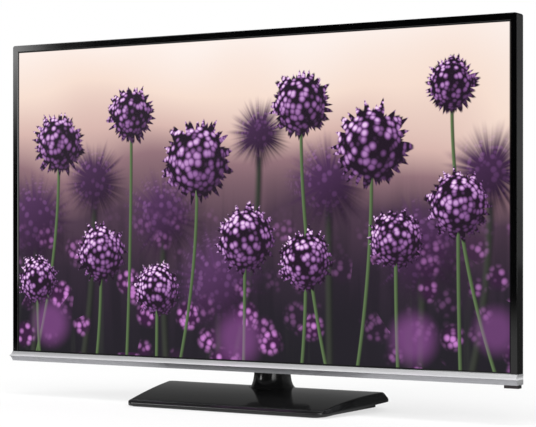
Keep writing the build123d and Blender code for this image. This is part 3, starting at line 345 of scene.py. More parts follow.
boardGreen = plasticFinish("boardGreen", (0.025, 0.13, 0.05), 0.4, 500.0, 0.00003)
wireBlack = plasticFinish("wireBlack", (0.015, 0.015, 0.015), 0.5, 800.0, 0.00002)
coneGrey = plasticFinish("coneGrey", (0.05, 0.05, 0.05), 0.75, 1200.0, 0.00006)
lensClear = plasticFinish("lensClear", (0.85, 0.87, 0.9), 0.12, 300.0, 0.000005)
windowDark = plasticFinish("windowDark", (0.012, 0.004, 0.006), 0.06, 200.0, 0.000002)
print("finishes made")


# the picture on the screen: round flower heads in a dusk meadow, with a short depth of field
def tone(red, green, blue):
    # values from 0 to 255 as a picture program gives them, to linear light
    return tuple(((c / 255 + 0.055) / 1.055) ** 2.4 if c > 10 else c / 255 / 12.92
                 for c in (red, green, blue))


def solid(shade):
    # the same, as a colour for a socket
    return (*tone(*shade), 1)


picture = {
    "unit": 10.0,            # pattern units for each metre
    "middleZ": 0.32225,      # height of the screen's middle
    "halfWidth": 4.4275,
    "halfHeight": 2.4905,
    "edge": 0.012,           # black line round the picture
    "sky": [(0.0, (24, 21, 28)), (0.14, (32, 26, 36)), (0.30, (48, 35, 50)), (0.46, (78, 56, 74)),
            (0.58, (146, 112, 120)), (0.68, (216, 182, 174)), (0.82, (246, 222, 208)),
            (1.0, (252, 240, 234))],
    # across, up, radius, blur, detail, lightness
    "farHeads": [(-4.05, -0.35, 0.66, 0.55, 0.3, 0.28), (-2.85, 0.30, 0.54, 0.5, 0.35, 0.25),
                 (-1.50, -0.25, 0.62, 0.6, 0.3, 0.30), (0.28, 1.00, 0.46, 0.5, 0.35, 0.25),
                 (1.50, 0.25, 0.60, 0.6, 0.3, 0.30), (3.05, -0.75, 0.66, 0.55, 0.3, 0.28),
                 (4.12, 0.35, 0.58, 0.55, 0.35, 0.25), (-0.45, -1.30, 0.70, 0.7, 0.2, 0.35)],
    "nearHeads": [(-3.58, 0.95, 0.50, 0.07, 1.0, 0.95), (-2.12, 1.38, 0.44, 0.06, 1.0, 0.95),
                  (-2.72, -0.85, 0.48, 0.07, 1.0, 1.1), (-0.86, 0.62, 0.62, 0.05, 1.0, 1.0),
                  (0.02, -0.62, 0.52, 0.06, 1.0, 1.1), (1.02, 1.42, 0.50, 0.06, 1.0, 0.95),
                  (1.10, -0.92, 0.46, 0.06, 1.0, 1.15), (2.22, 0.78, 0.62, 0.05, 1.0, 1.05),
                  (2.62, -0.60, 0.44, 0.06, 1.0, 1.1), (3.52, 1.62, 0.40, 0.08, 1.0, 0.9),
                  (3.62, -0.10, 0.48, 0.07, 1.0, 1.1), (-1.62, -1.42, 0.42, 0.09, 1.0, 1.2),
                  (-4.02, -1.30, 0.40, 0.1, 1.0, 1.15)],
    # across, up, radius, strength
    "glows": [(-3.75, -2.0, 0.5, 0.45), (-0.1, -2.15, 0.55, 0.42), (2.9, -2.05, 0.5, 0.45),
              (4.2, -1.9, 0.45, 0.36)],
    "glowShade": (158, 88, 166), "drift": 0.35, "driftReach": 0.09,
    # grass: scale across and up, heights where it starts to fade and is gone, share at the foot
    "grass": (3.2, 1, 0.28), "grassFade": (-2.4, 0.9), "grassShare": 0.75,
    # limits and shade of the dark blades and of the green ones
    "blades": (((0.46, 0.62, 0.0, 1.0), (26, 21, 30)), ((0.3, 0.42, 0.45, 0.0), (60, 64, 56))),
    # stems: half width, blur, shade
    "farStem": (0.05, 0.05, (62, 66, 56)), "nearStem": (0.028, 0.012, (104, 130, 84)),
    "stemLean": 0.05, "stemDark": 0.45, "stemTop": 0.6,
    # small blossoms near the foot: cells and florets for each unit, heights where they fade, strength
    "blossomCells": 2.1, "blossomFlorets": 9.0, "blossomFade": (-1.6, 0.1), "blossomShare": 0.9,
    "blossomEdge": (0.30, 0.56), "blossomChance": (0.22, 0.50), "floretEdge": (0.15, 0.65),
    "blossomShades": ((58, 20, 62), (216, 138, 222)),
}

flowerHead = {
    "spikes": 7.0, "spikeReach": (0.22, -0.16), "rimPower": 2.5, "rimSqueeze": 0.55, "florets": 4.6,
    "floretEdge": (0.16, 0.70), "softPetals": 0.6, "lightFrom": (-0.45, 0.0, 0.75),
    "lightRange": (-0.7, 0.75, 0.10, 1.08), "dark": (28, 11, 29), "petal": (202, 126, 222),
    "shine": (255, 226, 252), "shinePower": 3.0, "shineShare": 0.9,
}


def makeHeadGroup():
    # one round flower head: ragged edge, florets that crowd towards the rim, light from the upper left
    group, source, result = newGroup(
        "flowerHead",
        [("Place", "NodeSocketVector", (0, 0, 0)), ("Centre", "NodeSocketVector", (0, 0, 0)),
         ("Radius", "NodeSocketFloat", 0.5), ("Blur", "NodeSocketFloat", 0.1),
         ("Detail", "NodeSocketFloat", 1.0), ("Lightness", "NodeSocketFloat", 0.8)],
        [("Colour", "NodeSocketColor"), ("Mask", "NodeSocketFloat")])
    s = flowerHead
    centre, blur = source.outputs["Centre"], source.outputs["Blur"]
    away = vectorMath(group, "SUBTRACT", source.outputs["Place"], centre)
    inverse = mathNode(group, "DIVIDE", 1.0, source.outputs["Radius"])
    local = vectorMath(group, "SCALE", away, scale=inverse)
    reach = vectorMath(group, "LENGTH", local)
    shifted = vectorMath(group, "ADD", vectorMath(group, "NORMALIZE", local), centre)
    spikes = pattern(group, "Noise", shifted, s["spikes"], 1.0)["Fac"]
    edge = mathNode(group, "ADD", reach, rangeNode(group, spikes, 0.3, 0.7, *s["spikeReach"]))
    outer = mathNode(group, "ADD", 1.0, product(group, blur, 0.6))
    inner = mathNode(group, "SUBTRACT", 1.0, blur)
    mask = rangeNode(group, edge, inner, outer, 1.0, 0.0, "SMOOTHSTEP")
    # florets on a ball: the pattern is squeezed towards the rim
    rim = product(group, mathNode(group, "POWER", reach, s["rimPower"]), s["rimSqueeze"])
    ball = vectorMath(group, "SCALE", local, scale=mathNode(group, "ADD", 1.0, rim))
    cells = pattern(group, "Voronoi", vectorMath(group, "ADD", ball, centre), s["florets"])["Distance"]
    petals = rangeNode(group, cells, *s["floretEdge"], 1.0, 0.0, "SMOOTHSTEP")
    soft = mathNode(group, "SUBTRACT", 1.0, source.outputs["Detail"])
    petals = mathNode(group, "MAXIMUM", petals, product(group, soft, s["softPetals"]))
    light = vectorMath(group, "DOT_PRODUCT", local, s["lightFrom"])
    lit = product(group, rangeNode(group, light, *s["lightRange"]), source.outputs["Lightness"])
    share = mathNode(group, "MULTIPLY", petals, lit, True)
    colour = mixColour(group, share, solid(s["dark"]), solid(s["petal"]))
    sparkle = mathNode(group, "POWER", share, s["shinePower"])
    sparkle = mathNode(group, "MULTIPLY", sparkle, s["shineShare"], True)
    link(group, mixColour(group, sparkle, colour, solid(s["shine"])), result.inputs["Colour"])
    link(group, mask, result.inputs["Mask"])
    return group


def makeStemGroup():
    # a thin curved stem from the foot of the picture up to its head
    group, source, result = newGroup(
        "flowerStem",
        [("Place", "NodeSocketVector", (0, 0, 0)), ("Top X", "NodeSocketFloat", 0.0),
         ("Top Z", "NodeSocketFloat", 1.0), ("Lean", "NodeSocketFloat", 0.1),
         ("Width", "NodeSocketFloat", 0.04), ("Blur", "NodeSocketFloat", 0.01)],
        [("Mask", "NodeSocketFloat"), ("Side", "NodeSocketFloat")])
    x, _, z = axesOf(group, source.outputs["Place"])
    width, blur = source.outputs["Width"], source.outputs["Blur"]
    below = mathNode(group, "SUBTRACT", source.outputs["Top Z"], z)
    bend = product(group, below, below, source.outputs["Lean"])
    line = mathNode(group, "ADD", source.outputs["Top X"], bend)
    across = mathNode(group, "SUBTRACT", x, line)
    body = rangeNode(group, mathNode(group, "ABSOLUTE", across), mathNode(group, "SUBTRACT", width, blur),
                     mathNode(group, "ADD", width, blur), 1.0, 0.0, "SMOOTHSTEP")
    under = rangeNode(group, below, 0.0, 0.1, 0.0, 1.0)
    link(group, product(group, body, under), result.inputs["Mask"])
    side = rangeNode(group, mathNode(group, "DIVIDE", across, width), -1.0, 1.0, 1.0, 0.0)
    link(group, side, result.inputs["Side"])
    return group


def makeScreen():
    material, tree, shader = newMaterial("screenPicture", (0.004, 0.004, 0.005), 0.30,
                                         **{"Specular IOR Level": 0.10})
    s = picture
    head, stem = makeHeadGroup(), makeStemGroup()
    place = addNode(tree, "ShaderNodeMapping")
    link(tree, objectPlace(tree), place.inputs["Vector"])
    place.inputs["Location"].default_value = (0, 0, -s["middleZ"] * s["unit"])
    place.inputs["Scale"].default_value = (s["unit"], 0, s["unit"])
    point = place.outputs[0]
    across, _, up = axesOf(tree, point)
    # sky: a slow gradient that drifts a little from side to side
    drift = pattern(tree, "Noise", point, s["drift"], 1.0)["Fac"]
    level = rangeNode(tree, up, -s["halfHeight"], s["halfHeight"], 0.0, 1.0)
    level = mathNode(tree, "ADD", level, rangeNode(tree, drift, 0.3, 0.7, -s["driftReach"], s["driftReach"]))
    colour = rampNode(tree, level, [(stop, tone(*shade)) for stop, shade in s["sky"]])
    # blades of grass far behind: tall soft streaks that end raggedly
    streakPlace = addNode(tree, "ShaderNodeMapping")
    link(tree, point, streakPlace.inputs["Vector"])
    streakPlace.inputs["Scale"].default_value = s["grass"]
    streaks = pattern(tree, "Noise", streakPlace.outputs[0], 1.0, 3.0)["Fac"]
    fade = rangeNode(tree, up, *s["grassFade"], s["grassShare"], 0.0, "SMOOTHSTEP")
    for limits, shade in s["blades"]:
        share = product(tree, rangeNode(tree, streaks, *limits, "SMOOTHSTEP"), fade)
        colour = mixColour(tree, share, colour, solid(shade))
    rng = random.Random(7)

    def addStem(colour, x, z, radius, width, blur, shade):
        lean = rng.uniform(-s["stemLean"], s["stemLean"])
        part = useGroup(tree, stem, **{"Place": point, "Top X": x, "Top Z": z - radius * s["stemTop"],
                                       "Lean": lean, "Width": width, "Blur": blur})
        dark = [c * s["stemDark"] for c in shade]
        tint = mixColour(tree, part.outputs["Side"], solid(dark), solid(shade))
        return mixColour(tree, part.outputs["Mask"], colour, tint)

    def addHead(colour, x, z, radius, blur, detail, lightness):
        part = useGroup(tree, head, Place=point, Centre=(x, 0, z), Radius=radius, Blur=blur, Detail=detail,
                        Lightness=lightness)
        return mixColour(tree, part.outputs["Mask"], colour, part.outputs["Colour"])

    for spot in s["farHeads"]:
        colour = addStem(colour, *spot[:3], *s["farStem"])
        colour = addHead(colour, *spot)
    # small blossoms that crowd the foot of the picture
    wide = pattern(tree, "Voronoi", point, s["blossomCells"])
    fine = pattern(tree, "Voronoi", point, s["blossomFlorets"])
    blossom = rangeNode(tree, wide["Distance"], *s["blossomEdge"], 1.0, 0.0, "SMOOTHSTEP")
    chosen = rangeNode(tree, wide["Color"], *s["blossomChance"], 0.0, 1.0)
    nearFoot = rangeNode(tree, up, *s["blossomFade"], s["blossomShare"], 0.0, "SMOOTHSTEP")
    petals = rangeNode(tree, fine["Distance"], *s["floretEdge"], 1.0, 0.0, "SMOOTHSTEP")
    tint = mixColour(tree, petals, *[solid(shade) for shade in s["blossomShades"]])
    colour = mixColour(tree, product(tree, blossom, chosen, nearFoot), colour, tint)
    for spot in s["nearHeads"]:
        colour = addStem(colour, *spot[:3], *s["nearStem"])
    for spot in s["nearHeads"]:
        colour = addHead(colour, *spot)
    for x, z, radius, strength in s["glows"]:
        away = vectorMath(tree, "DISTANCE", point, (x, 0, z))
        share = rangeNode(tree, away, radius * 0.3, radius, strength, 0.0, "SMOOTHSTEP")
        colour = mixColour(tree, share, colour, solid(s["glowShade"]))
    # black line at the edge of the picture
    besideX = mathNode(tree, "SUBTRACT", s["halfWidth"], mathNode(tree, "ABSOLUTE", across))
    besideZ = mathNode(tree, "SUBTRACT", s["halfHeight"], mathNode(tree, "ABSOLUTE", up))
    nearest = mathNode(tree, "MINIMUM", besideX, besideZ)
    inside = rangeNode(tree, nearest, s["edge"], s["edge"] * 1.5, 0.0, 1.0)
    link(tree, mixColour(tree, inside, (0, 0, 0, 1), colour), shader.inputs["Emission Color"])
    shader.inputs["Emission Strength"].default_value = 1.0
    material.cycles.emission_sampling = "NONE"
    return material


screenPicture = makeScreen()
print("screen picture made")

# the finish of each CAD piece
paintwork = (
    (glossBlack, "front_bezel"), (screenPicture, "lcd_cell"), (neckBlack, "neck_sleeve"),
    (baseBlack, "base_cover"), (trimSilver, "bottom_trim trim_end_caps"),
    (textureBlack, "rear_cover bracket_cover socket_panel inlet_panel control_housing control_cap"),
    (sootBlack, "middle_frame base_pan control_ring control_rocker sensor_housing power_capacitors"),
    (sootBlack, "power_transformers audio_jack power_inlet speaker_boxes"),
    (windowDark, "sensor_window"), (boardGreen, "sensor_board main_board power_board timing_board"),
    (whitePlastic, "optical_films diffuser_plate reflector_sheet led_bars signal_ribbon swivel_washer"),
    (lensClear, "led_lenses"),
    (sheetSteel, "back_chassis wall_mount_posts stand_bracket swivel_plate base_weight neck_core"),
    (screwSteel, "rear_cover_screws board_screws speaker_screws bracket_screws neck_screws base_screws"),
    (screwSteel, "pivot_nut pivot_washer board_standoffs"),
    (screwSteel, "display_sockets data_socket network_socket aerial_socket"),
    (aluminium, "heat_sinks"), (wireBlack, "power_harness speaker_cables"),
    (coneGrey, "speaker_drivers"), (rubber, "speaker_grommets base_feet"),
)
for finish, painted in paintwork:
    for name in painted.split():
        for slot in nodes[name].material_slots:
            slot.material = finish


def newPiece(name, mesh, body, slot, material, *replaced):
    piece = addObject(name, mesh)
    mesh.materials.clear()
    mesh.materials.append(material)
    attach(piece, body)
    if replaced:
        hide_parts(*replaced)
    return piece


def meshFrom(name, vertices, faces):
    # makes a mesh, merges its doubles and turns its faces outwards
    mesh = bpy.data.meshes.new(name)
    mesh.from_pydata(vertices, [], faces)
    work = bmesh.new()
    work.from_mesh(mesh)
    bmesh.ops.remove_doubles(work, verts=work.verts, dist=0.000002)
    bmesh.ops.dissolve_degenerate(work, dist=0.000001, edges=work.edges)
    bmesh.ops.recalc_face_normals(work, faces=work.faces)
    work.to_mesh(mesh)
    work.free()
    mesh.polygons.foreach_set("use_smooth", [True] * len(mesh.polygons))
    return mesh


def ringFaces(count, rings, closed):
    # four-sided faces between rings of points, and from the last ring to the first where closed
    faces = []
    for r in range(rings if closed else rings - 1):
        near, far = r * count, (r + 1) % rings * count
        for i in range(count):
            n = (i + 1) % count
            faces.append((near + i, near + n, far + n, far + i))
    return faces


def applyModifiers(piece):
    mesh = bpy.data.meshes.new_from_object(piece.evaluated_get(bpy.context.evaluated_depsgraph_get()))
    piece.modifiers.clear()
    return mesh


# base: a shell whose top rises in an arc to a crest, with sloping sides and a low lip
baseSizes = {
    "frontHalf": 0.175, "crestHalf": 0.2065, "backHalf": 0.180, "halfDepth": 0.0965, "crestY": 0.056,
    "corner": 0.015, "cornerSteps": 9, "edgeSteps": 44,
    "frontLow": 0.0016, "frontLip": 0.0065, "frontHigh": 0.0098, "chamferRun": 0.0055,
    "crestLow": 0.014, "crestLip": 0.018, "crestHigh": 0.02775, "slopeRun": 0.009,
    "backLow": 0.012, "backLip": 0.0155, "backHigh": 0.017, "frontSwell": 0.003, "backSwell": 0.0026,
    "wall": 0.0022, "creaseRound": 0.0024, "lipRound": 0.0010,
    # rings of points: how far they reach in from the outline, towards a spine, and the steps between
    "ringReach": 0.086, "spineShare": 0.72, "spineY": 0.012, "lipFoot": (0.0003, 0.0006),
    "ringDepths": [0, 0.00008, 0.0003, 0.0006, 0.001, 0.0016, 0.0024, 0.0034, 0.0046, 0.006, 0.0076, 0.0094,
                   0.0114, 0.0134, 0.0152, 0.017, 0.019, 0.0215, 0.025, 0.030, 0.037, 0.046, 0.056, 0.068,
                   0.082],
    "neckClearance": 0.0368, "pivotLow": 0.008, "cutterTop": 0.06, "cutterSides": 128,
}

# ring under the neck: its upper edge turns down in three steps, and its skirt runs out below
landingSizes = {
    "height": 0.0257, "radius": 0.0362, "hole": 0.0310, "depth": 0.003, "wall": 0.002, "steps": 144,
    "edge": ((0.0008, 0.0), (0.0003, 0.0002), (0.0, 0.0007)),
    "skirt": 0.0035, "skirtFall": 0.003, "sink": 0.0009, "skirtSteps": (0.2, 0.4, 0.6, 0.8, 1.0),
}


def arcHeight(y, start, end, swell):
    # height on a shallow arc between two points of the side view
    share = (y - start[0]) / (end[0] - start[0])
    return start[1] + (end[1] - start[1]) * share + 4 * swell * share * (1 - share)


def between(y, rows):
    # straight interpolation between (y, value) rows
    for (yLow, low), (yHigh, high) in zip(rows, rows[1:]):
        if y <= yHigh:
            return low + (high - low) * (y - yLow) / (yHigh - yLow)
    return rows[-1][1]


def softMin(first, second, radius):
    # the lower of two heights, rounded where they meet
    overlap = max(0.0, 1 - abs(first - second) / radius)
    return min(first, second) - radius * overlap * overlap / 4


def baseRow(y, kind):
    # half width, lip or lower edge at the depth y
    s = baseSizes
    return between(y, [(-s["halfDepth"], s["front" + kind]), (s["crestY"], s["crest" + kind]),
                       (s["halfDepth"], s["back" + kind])])


def baseTop(x, y):
    s = baseSizes
    front, crest = (-s["halfDepth"] + s["chamferRun"], s["frontHigh"]), (s["crestY"], s["crestHigh"])
    back = (s["halfDepth"], s["backHigh"])
    rise = arcHeight(y, front, crest, s["frontSwell"])
    fall = arcHeight(y, crest, back, s["backSwell"])
    top = rise if y < s["crestY"] else fall
    chamfer = s["frontLip"] + (y + s["halfDepth"]) * (s["frontHigh"] - s["frontLip"]) / s["chamferRun"]
    top = softMin(top, chamfer, s["creaseRound"])
    climb = (s["crestHigh"] - s["crestLip"]) / s["slopeRun"]
    side = baseRow(y, "Lip") + (baseRow(y, "Half") - abs(x)) * climb
    return softMin(top, side, s["creaseRound"])


def baseOutline():
    # corners of the outline, each rounded, with points along the straight edges
    s = baseSizes
    right = [(s["frontHalf"], -s["halfDepth"]), (s["crestHalf"], s["crestY"]),
             (s["backHalf"], s["halfDepth"])]
    corners = [Vector(c) for c in right] + [Vector((-x, y)) for x, y in reversed(right)]
    points = []
    for index, corner in enumerate(corners):
        before = (corners[index - 1] - corner).normalized()
        after = (corners[(index + 1) % len(corners)] - corner).normalized()
        half = before.angle(after) / 2
        reach = s["corner"] / math.tan(half)
        centre = corner + (before + after).normalized() * (s["corner"] / math.sin(half))
        start, end = corner + before * reach - centre, corner + after * reach - centre
        swing = start.angle_signed(end)
        for step in range(s["cornerSteps"] + 1):
            turned = Matrix.Rotation(-swing * step / s["cornerSteps"], 2) @ start
            points.append(centre + turned)
        following = corners[(index + 1) % len(corners)]
        nextHalf = (corner - following).angle(corners[(index + 2) % len(corners)] - following) / 2
        last = following - after * (s["corner"] / math.tan(nextHalf))
        first = points[-1].copy()
        points += [first.lerp(last, step / s["edgeSteps"]) for step in range(1, s["edgeSteps"])]
    return points


def makeBaseShell():
    s = baseSizes
    outline = baseOutline()
    spine = [Vector((p.x * s["spineShare"], s["spineY"])) for p in outline]
    rings = []

    def ring(depth, height):
        row = []
        for point, inner in zip(outline, spine):
            place = point.lerp(inner, min(1.0, depth / s["ringReach"]))
            row.append((place.x, place.y, height(place, point)))
        rings.append(row)

    def outerHeight(depth):
        gone = max(0.0, 1 - depth / s["lipRound"])
        return lambda place, edge: baseTop(*place) - s["lipRound"] * (1 - math.sqrt(1 - gone * gone))

    def lowEdge(place, edge):
        return baseRow(edge.y, "Low")

    ring(s["ringReach"], lambda place, edge: baseTop(*place))
    for depth in reversed(s["ringDepths"]):
        ring(depth, outerHeight(depth))
    inset, lift = s["lipFoot"]
    ring(0, lambda place, edge: lowEdge(place, edge) + lift)
    ring(inset, lowEdge)
    ring(s["wall"], lowEdge)
    for depth in [s["wall"]] + [d for d in s["ringDepths"] if d > s["wall"]] + [s["ringReach"]]:
        ring(depth, lambda place, edge: max(baseTop(*place) - s["wall"], lowEdge(place, edge)))
    vertices = [v for row in rings for v in row]
    shell = addObject("baseShellWork", meshFrom("baseShell", vertices,
                                                ringFaces(len(outline), len(rings), closed=False)))
    # round seat for the neck, and the opening for the pivot inside it
    cutters = []
    top = s["cutterTop"]
    for name, radius, low in (("seatCutter", s["neckClearance"], landingSizes["height"]),
                              ("pivotCutter", landingSizes["hole"], s["pivotLow"])):
        work = bmesh.new()
        bmesh.ops.create_cone(work, cap_ends=True, segments=s["cutterSides"], radius1=radius, radius2=radius,
                              depth=top - low, matrix=Matrix.Translation((0, s["crestY"], (top + low) / 2)))
        cutterMesh = bpy.data.meshes.new(name)
        work.to_mesh(cutterMesh)
        work.free()
        cutter = addObject(name, cutterMesh)
        cut = shell.modifiers.new(name, "BOOLEAN")
        cut.operation, cut.solver, cut.object = "DIFFERENCE", "EXACT", cutter
        cutters.append(cutter)
    finished = applyModifiers(shell)
    finished.name = "baseShell"
    for extra in cutters + [shell]:
        bpy.data.objects.remove(extra)
    finished.set_sharp_from_angle(angle=math.radians(50))
    return newPiece("baseShell", finished, "stand", "black_gloss_plastic", baseBlack, "base_cover")


def makeNeckLanding():
    # ring under the neck that runs out into the top of the base
    s = landingSizes
    radius, height, crestY = s["radius"], s["height"], baseSizes["crestY"]
    profile = [(s["hole"], height - s["depth"]), (s["hole"], height)]
    profile += [(radius - inset, height - drop) for inset, drop in s["edge"]]
    skirtTop = height - s["edge"][-1][1]
    vertices = []
    for index in range(s["steps"]):
        angle = 2 * math.pi * index / s["steps"]
        side, ahead = math.cos(angle), math.sin(angle)
        fall = max(0.0, skirtTop - baseTop(side * radius, crestY + ahead * radius))
        row = list(profile)
        for share in s["skirtSteps"]:
            spread = s["skirt"] * min(1.0, fall / s["skirtFall"]) * share ** 3
            row.append((radius + spread, skirtTop - (fall + s["sink"]) * share))
        row += [(radius - s["wall"], row[-1][1]), (radius - s["wall"], height - s["depth"])]
        vertices += [(reach * side, crestY + reach * ahead, z) for reach, z in row]
    mesh = meshFrom("neckLanding", vertices, ringFaces(len(row), s["steps"], closed=True))
    mesh.set_sharp_from_angle(angle=math.radians(40))
    return newPiece("neckLanding", mesh, "stand", "black_gloss_plastic", baseBlack)


makeBaseShell()
makeNeckLanding()
print("base made")


# small repeated pieces, made with geometry nodes
def newTree(name, inputs):
    inputs = [("Places", "NodeSocketGeometry", None)] + inputs
    outputs = [("Geometry", "NodeSocketGeometry")]
    tree, source, result = newGroup(name, inputs, outputs, "GeometryNodeTree")
    tree.is_modifier = True
    return tree, source, result


def finishTree(tree, source, result, geometry):
    real = addNode(tree, "GeometryNodeRealizeInstances")
    link(tree, geometry, real.inputs[0])
    painted = addNode(tree, "GeometryNodeSetMaterial")
    link(tree, real.outputs[0], painted.inputs["Geometry"])
    link(tree, source.outputs["Material"], painted.inputs["Material"])
    link(tree, painted.outputs[0], result.inputs[0])


def runTree(name, tree, places, values):
    # a mesh of bare points carries the tree, and its result becomes a plain mesh
    mesh = bpy.data.meshes.new(name + "Places")
    mesh.from_pydata(places, [], [])
    carrier = addObject(name + "Work", mesh)
    modifier = carrier.modifiers.new(name, "NODES")
    modifier.node_group = tree
    sockets = {item.name: item.identifier for item in tree.interface.items_tree if item.in_out == "INPUT"}
    for title, value in values.items():
        modifier[sockets[title]] = value
    finished = applyModifiers(carrier)
    bpy.data.objects.remove(carrier)
    work = bmesh.new()
    work.from_mesh(finished)
    bmesh.ops.remove_doubles(work, verts=work.verts, dist=0.000005)
    bmesh.ops.recalc_face_normals(work, faces=work.faces)
    work.to_mesh(finished)
    work.free()
    finished.name = name
    return finished


def instanced(tree, points, instance, rotation=None):
    node = addNode(tree, "GeometryNodeInstanceOnPoints")
    link(tree, points, node.inputs["Points"])
    link(tree, instance, node.inputs["Instance"])
    if rotation is not None:
        link(tree, rotation, node.inputs["Rotation"])
    return node.outputs[0]


def cuboid(tree, size):
    node = addNode(tree, "GeometryNodeMeshCube")
    link(tree, size, node.inputs["Size"])
    return node.outputs["Mesh"]


def moved(tree, geometry, offset, rotation=None):
    node = addNode(tree, "GeometryNodeTransform")
    link(tree, geometry, node.inputs["Geometry"])
    setInput(tree, node, "Translation", offset)
    if rotation is not None:
        setInput(tree, node, "Rotation", rotation)
    return node.outputs[0]


def joined(tree, *parts):
    node = addNode(tree, "GeometryNodeJoinGeometry")
    for part in parts:
        link(tree, part, node.inputs[0])
    return node.outputs[0]


def roundBar(tree, radius, height, low, sides=28, topRadius=None):
    # an upright round bar that stands on the height low, with a narrower top where one is given
    bar = addNode(tree, "GeometryNodeMeshCone")
    setInput(tree, bar, "Vertices", sides)
    setInput(tree, bar, "Radius Bottom", radius)
    setInput(tree, bar, "Radius Top", radius if topRadius is None else topRadius)
    setInput(tree, bar, "Depth", height)
    return moved(tree, bar.outputs["Mesh"], vectorOf(tree, z=low))


def makeScrewTree():
    tree, source, result = newTree("crossHeadScrew", [
        ("Head Radius", "NodeSocketFloat", 0.0036), ("Head Height", "NodeSocketFloat", 0.0018),
        ("Shaft Radius", "NodeSocketFloat", 0.0017), ("Shaft Length", "NodeSocketFloat", 0.008),
        ("Cross Length", "NodeSocketFloat", 0.0038), ("Cross Width", "NodeSocketFloat", 0.0008),
        ("Cross Depth", "NodeSocketFloat", 0.0012), ("Tilt", "NodeSocketVector", (0, 0, 0)),
        ("Seed", "NodeSocketInt", 4), ("Material", "NodeSocketMaterial", None)])
    inputs = source.outputs
    radius, height, length = inputs["Head Radius"], inputs["Head Height"], inputs["Shaft Length"]
    armSize = vectorOf(tree, inputs["Cross Length"], inputs["Cross Width"],
                       product(tree, inputs["Cross Depth"], 2.0))
    # the head is a closed round solid whose upper edge is turned down, less a cross
    head = roundBar(tree, radius, height, 0.0, topRadius=product(tree, radius, 0.8))
    cut = addNode(tree, "GeometryNodeMeshBoolean", operation="DIFFERENCE")
    link(tree, head, cut.inputs["Mesh 1"])
    for turn in (0.0, math.pi / 2):
        arm = moved(tree, cuboid(tree, armSize), vectorOf(tree, z=height), vectorOf(tree, z=turn))
        link(tree, arm, cut.inputs["Mesh 2"])
    shaft = roundBar(tree, inputs["Shaft Radius"], length, product(tree, length, -1.0), sides=16)
    screw = joined(tree, cut.outputs["Mesh"], shaft)
    placed = instanced(tree, inputs["Places"], screw, inputs["Tilt"])
    chance = addNode(tree, "FunctionNodeRandomValue", data_type="FLOAT")
    setInput(tree, chance, 2, 0.0)
    setInput(tree, chance, 3, math.pi / 2)
    link(tree, inputs["Seed"], chance.inputs["Seed"])
    spun = addNode(tree, "GeometryNodeRotateInstances")
    link(tree, placed, spun.inputs["Instances"])
    link(tree, vectorOf(tree, z=chance.outputs[1]), spun.inputs["Rotation"])
    finishTree(tree, source, result, spun.outputs[0])
    return tree


coverScrews = {
    "edgeX": 0.40156, "rows": (0.1503, 0.32025, 0.4902), "topZ": 0.5302,
    "columns": (-0.36156, -0.12052, 0.12052, 0.36156), "y": 0.004,
    "values": {"Head Radius": 0.0036, "Head Height": 0.0018, "Shaft Radius": 0.0017, "Shaft Length": 0.0088,
               "Tilt": (-math.pi / 2, 0, 0), "Seed": 4, "Material": screwSteel},
}
baseScrews = {
    "places": ((-0.120, -0.050), (0.120, -0.050), (-0.132, 0.030), (0.132, 0.030)), "z": 0.0021,
    "values": {"Head Radius": 0.0034, "Head Height": 0.0011, "Shaft Radius": 0.0017, "Shaft Length": 0.0088,
               "Cross Depth": 0.0007, "Tilt": (math.pi, 0, 0), "Seed": 9, "Material": screwSteel},
}


def makeScrews():
    tree = makeScrewTree()
    s = coverScrews
    places = [(side * s["edgeX"], s["y"], z) for z in s["rows"] for side in (-1, 1)]
    places += [(x, s["y"], s["topZ"]) for x in s["columns"]]
    mesh = runTree("coverScrews", tree, places, s["values"])
    newPiece("coverScrews", mesh, "set", "screw_steel", screwSteel, "rear_cover_screws")
    s = baseScrews
    mesh = runTree("floorScrews", tree, [(x, y, s["z"]) for x, y in s["places"]], s["values"])
    newPiece("floorScrews", mesh, "stand", "screw_steel", screwSteel, "base_screws")


ventBars = {"columns": 36, "pitch": 0.014, "rows": 5, "spacing": 0.004, "middleZ": 0.432, "y": 0.0529,
            "bar": (0.0034, 0.0010, 0.0012)}


def makeVentBars():
    # thin bars across the upper slots of the rear cover, so that each slot reads as a row of holes
    tree, source, result = newTree("ventBars", [
        ("Columns", "NodeSocketInt", 36), ("Rows", "NodeSocketInt", 5), ("Width", "NodeSocketFloat", 0.49),
        ("Height", "NodeSocketFloat", 0.016), ("Bar", "NodeSocketVector", (0.0034, 0.001, 0.0012)),
        ("Material", "NodeSocketMaterial", None)])
    grid = addNode(tree, "GeometryNodeMeshGrid")
    setInput(tree, grid, "Size X", source.outputs["Width"])
    setInput(tree, grid, "Size Y", source.outputs["Height"])
    setInput(tree, grid, "Vertices X", source.outputs["Columns"])
    setInput(tree, grid, "Vertices Y", source.outputs["Rows"])
    upright = moved(tree, grid.outputs["Mesh"], (0, 0, 0), (math.pi / 2, 0, 0))
    real = addNode(tree, "GeometryNodeRealizeInstances")
    link(tree, instanced(tree, source.outputs["Places"], upright), real.inputs[0])
    bars = instanced(tree, real.outputs[0], cuboid(tree, source.outputs["Bar"]))
    finishTree(tree, source, result, bars)
    s = ventBars
    mesh = runTree("ventBars", tree, [(0, s["y"], s["middleZ"])], {
        "Columns": s["columns"], "Rows": s["rows"], "Width": s["pitch"] * (s["columns"] - 1),
        "Height": s["spacing"] * (s["rows"] - 1), "Bar": s["bar"], "Material": textureBlack})
    newPiece("ventBars", mesh, "set", "black_cover_plastic", textureBlack)


footPads = {
    "placesX": (-0.1515, 0, 0.1515), "placesY": (-0.0805, 0.0805), "radius": 0.009, "height": 0.001,
    "ribs": 18, "sides": 40,
    # shares of the radius and of the height: the edge that is turned down, and each rib
    "edgeRadius": 0.93, "edgeHeight": 0.25, "ribPlace": 0.58, "ribLength": 0.5, "ribWidth": 0.08,
    "ribHeight": 0.5,
}


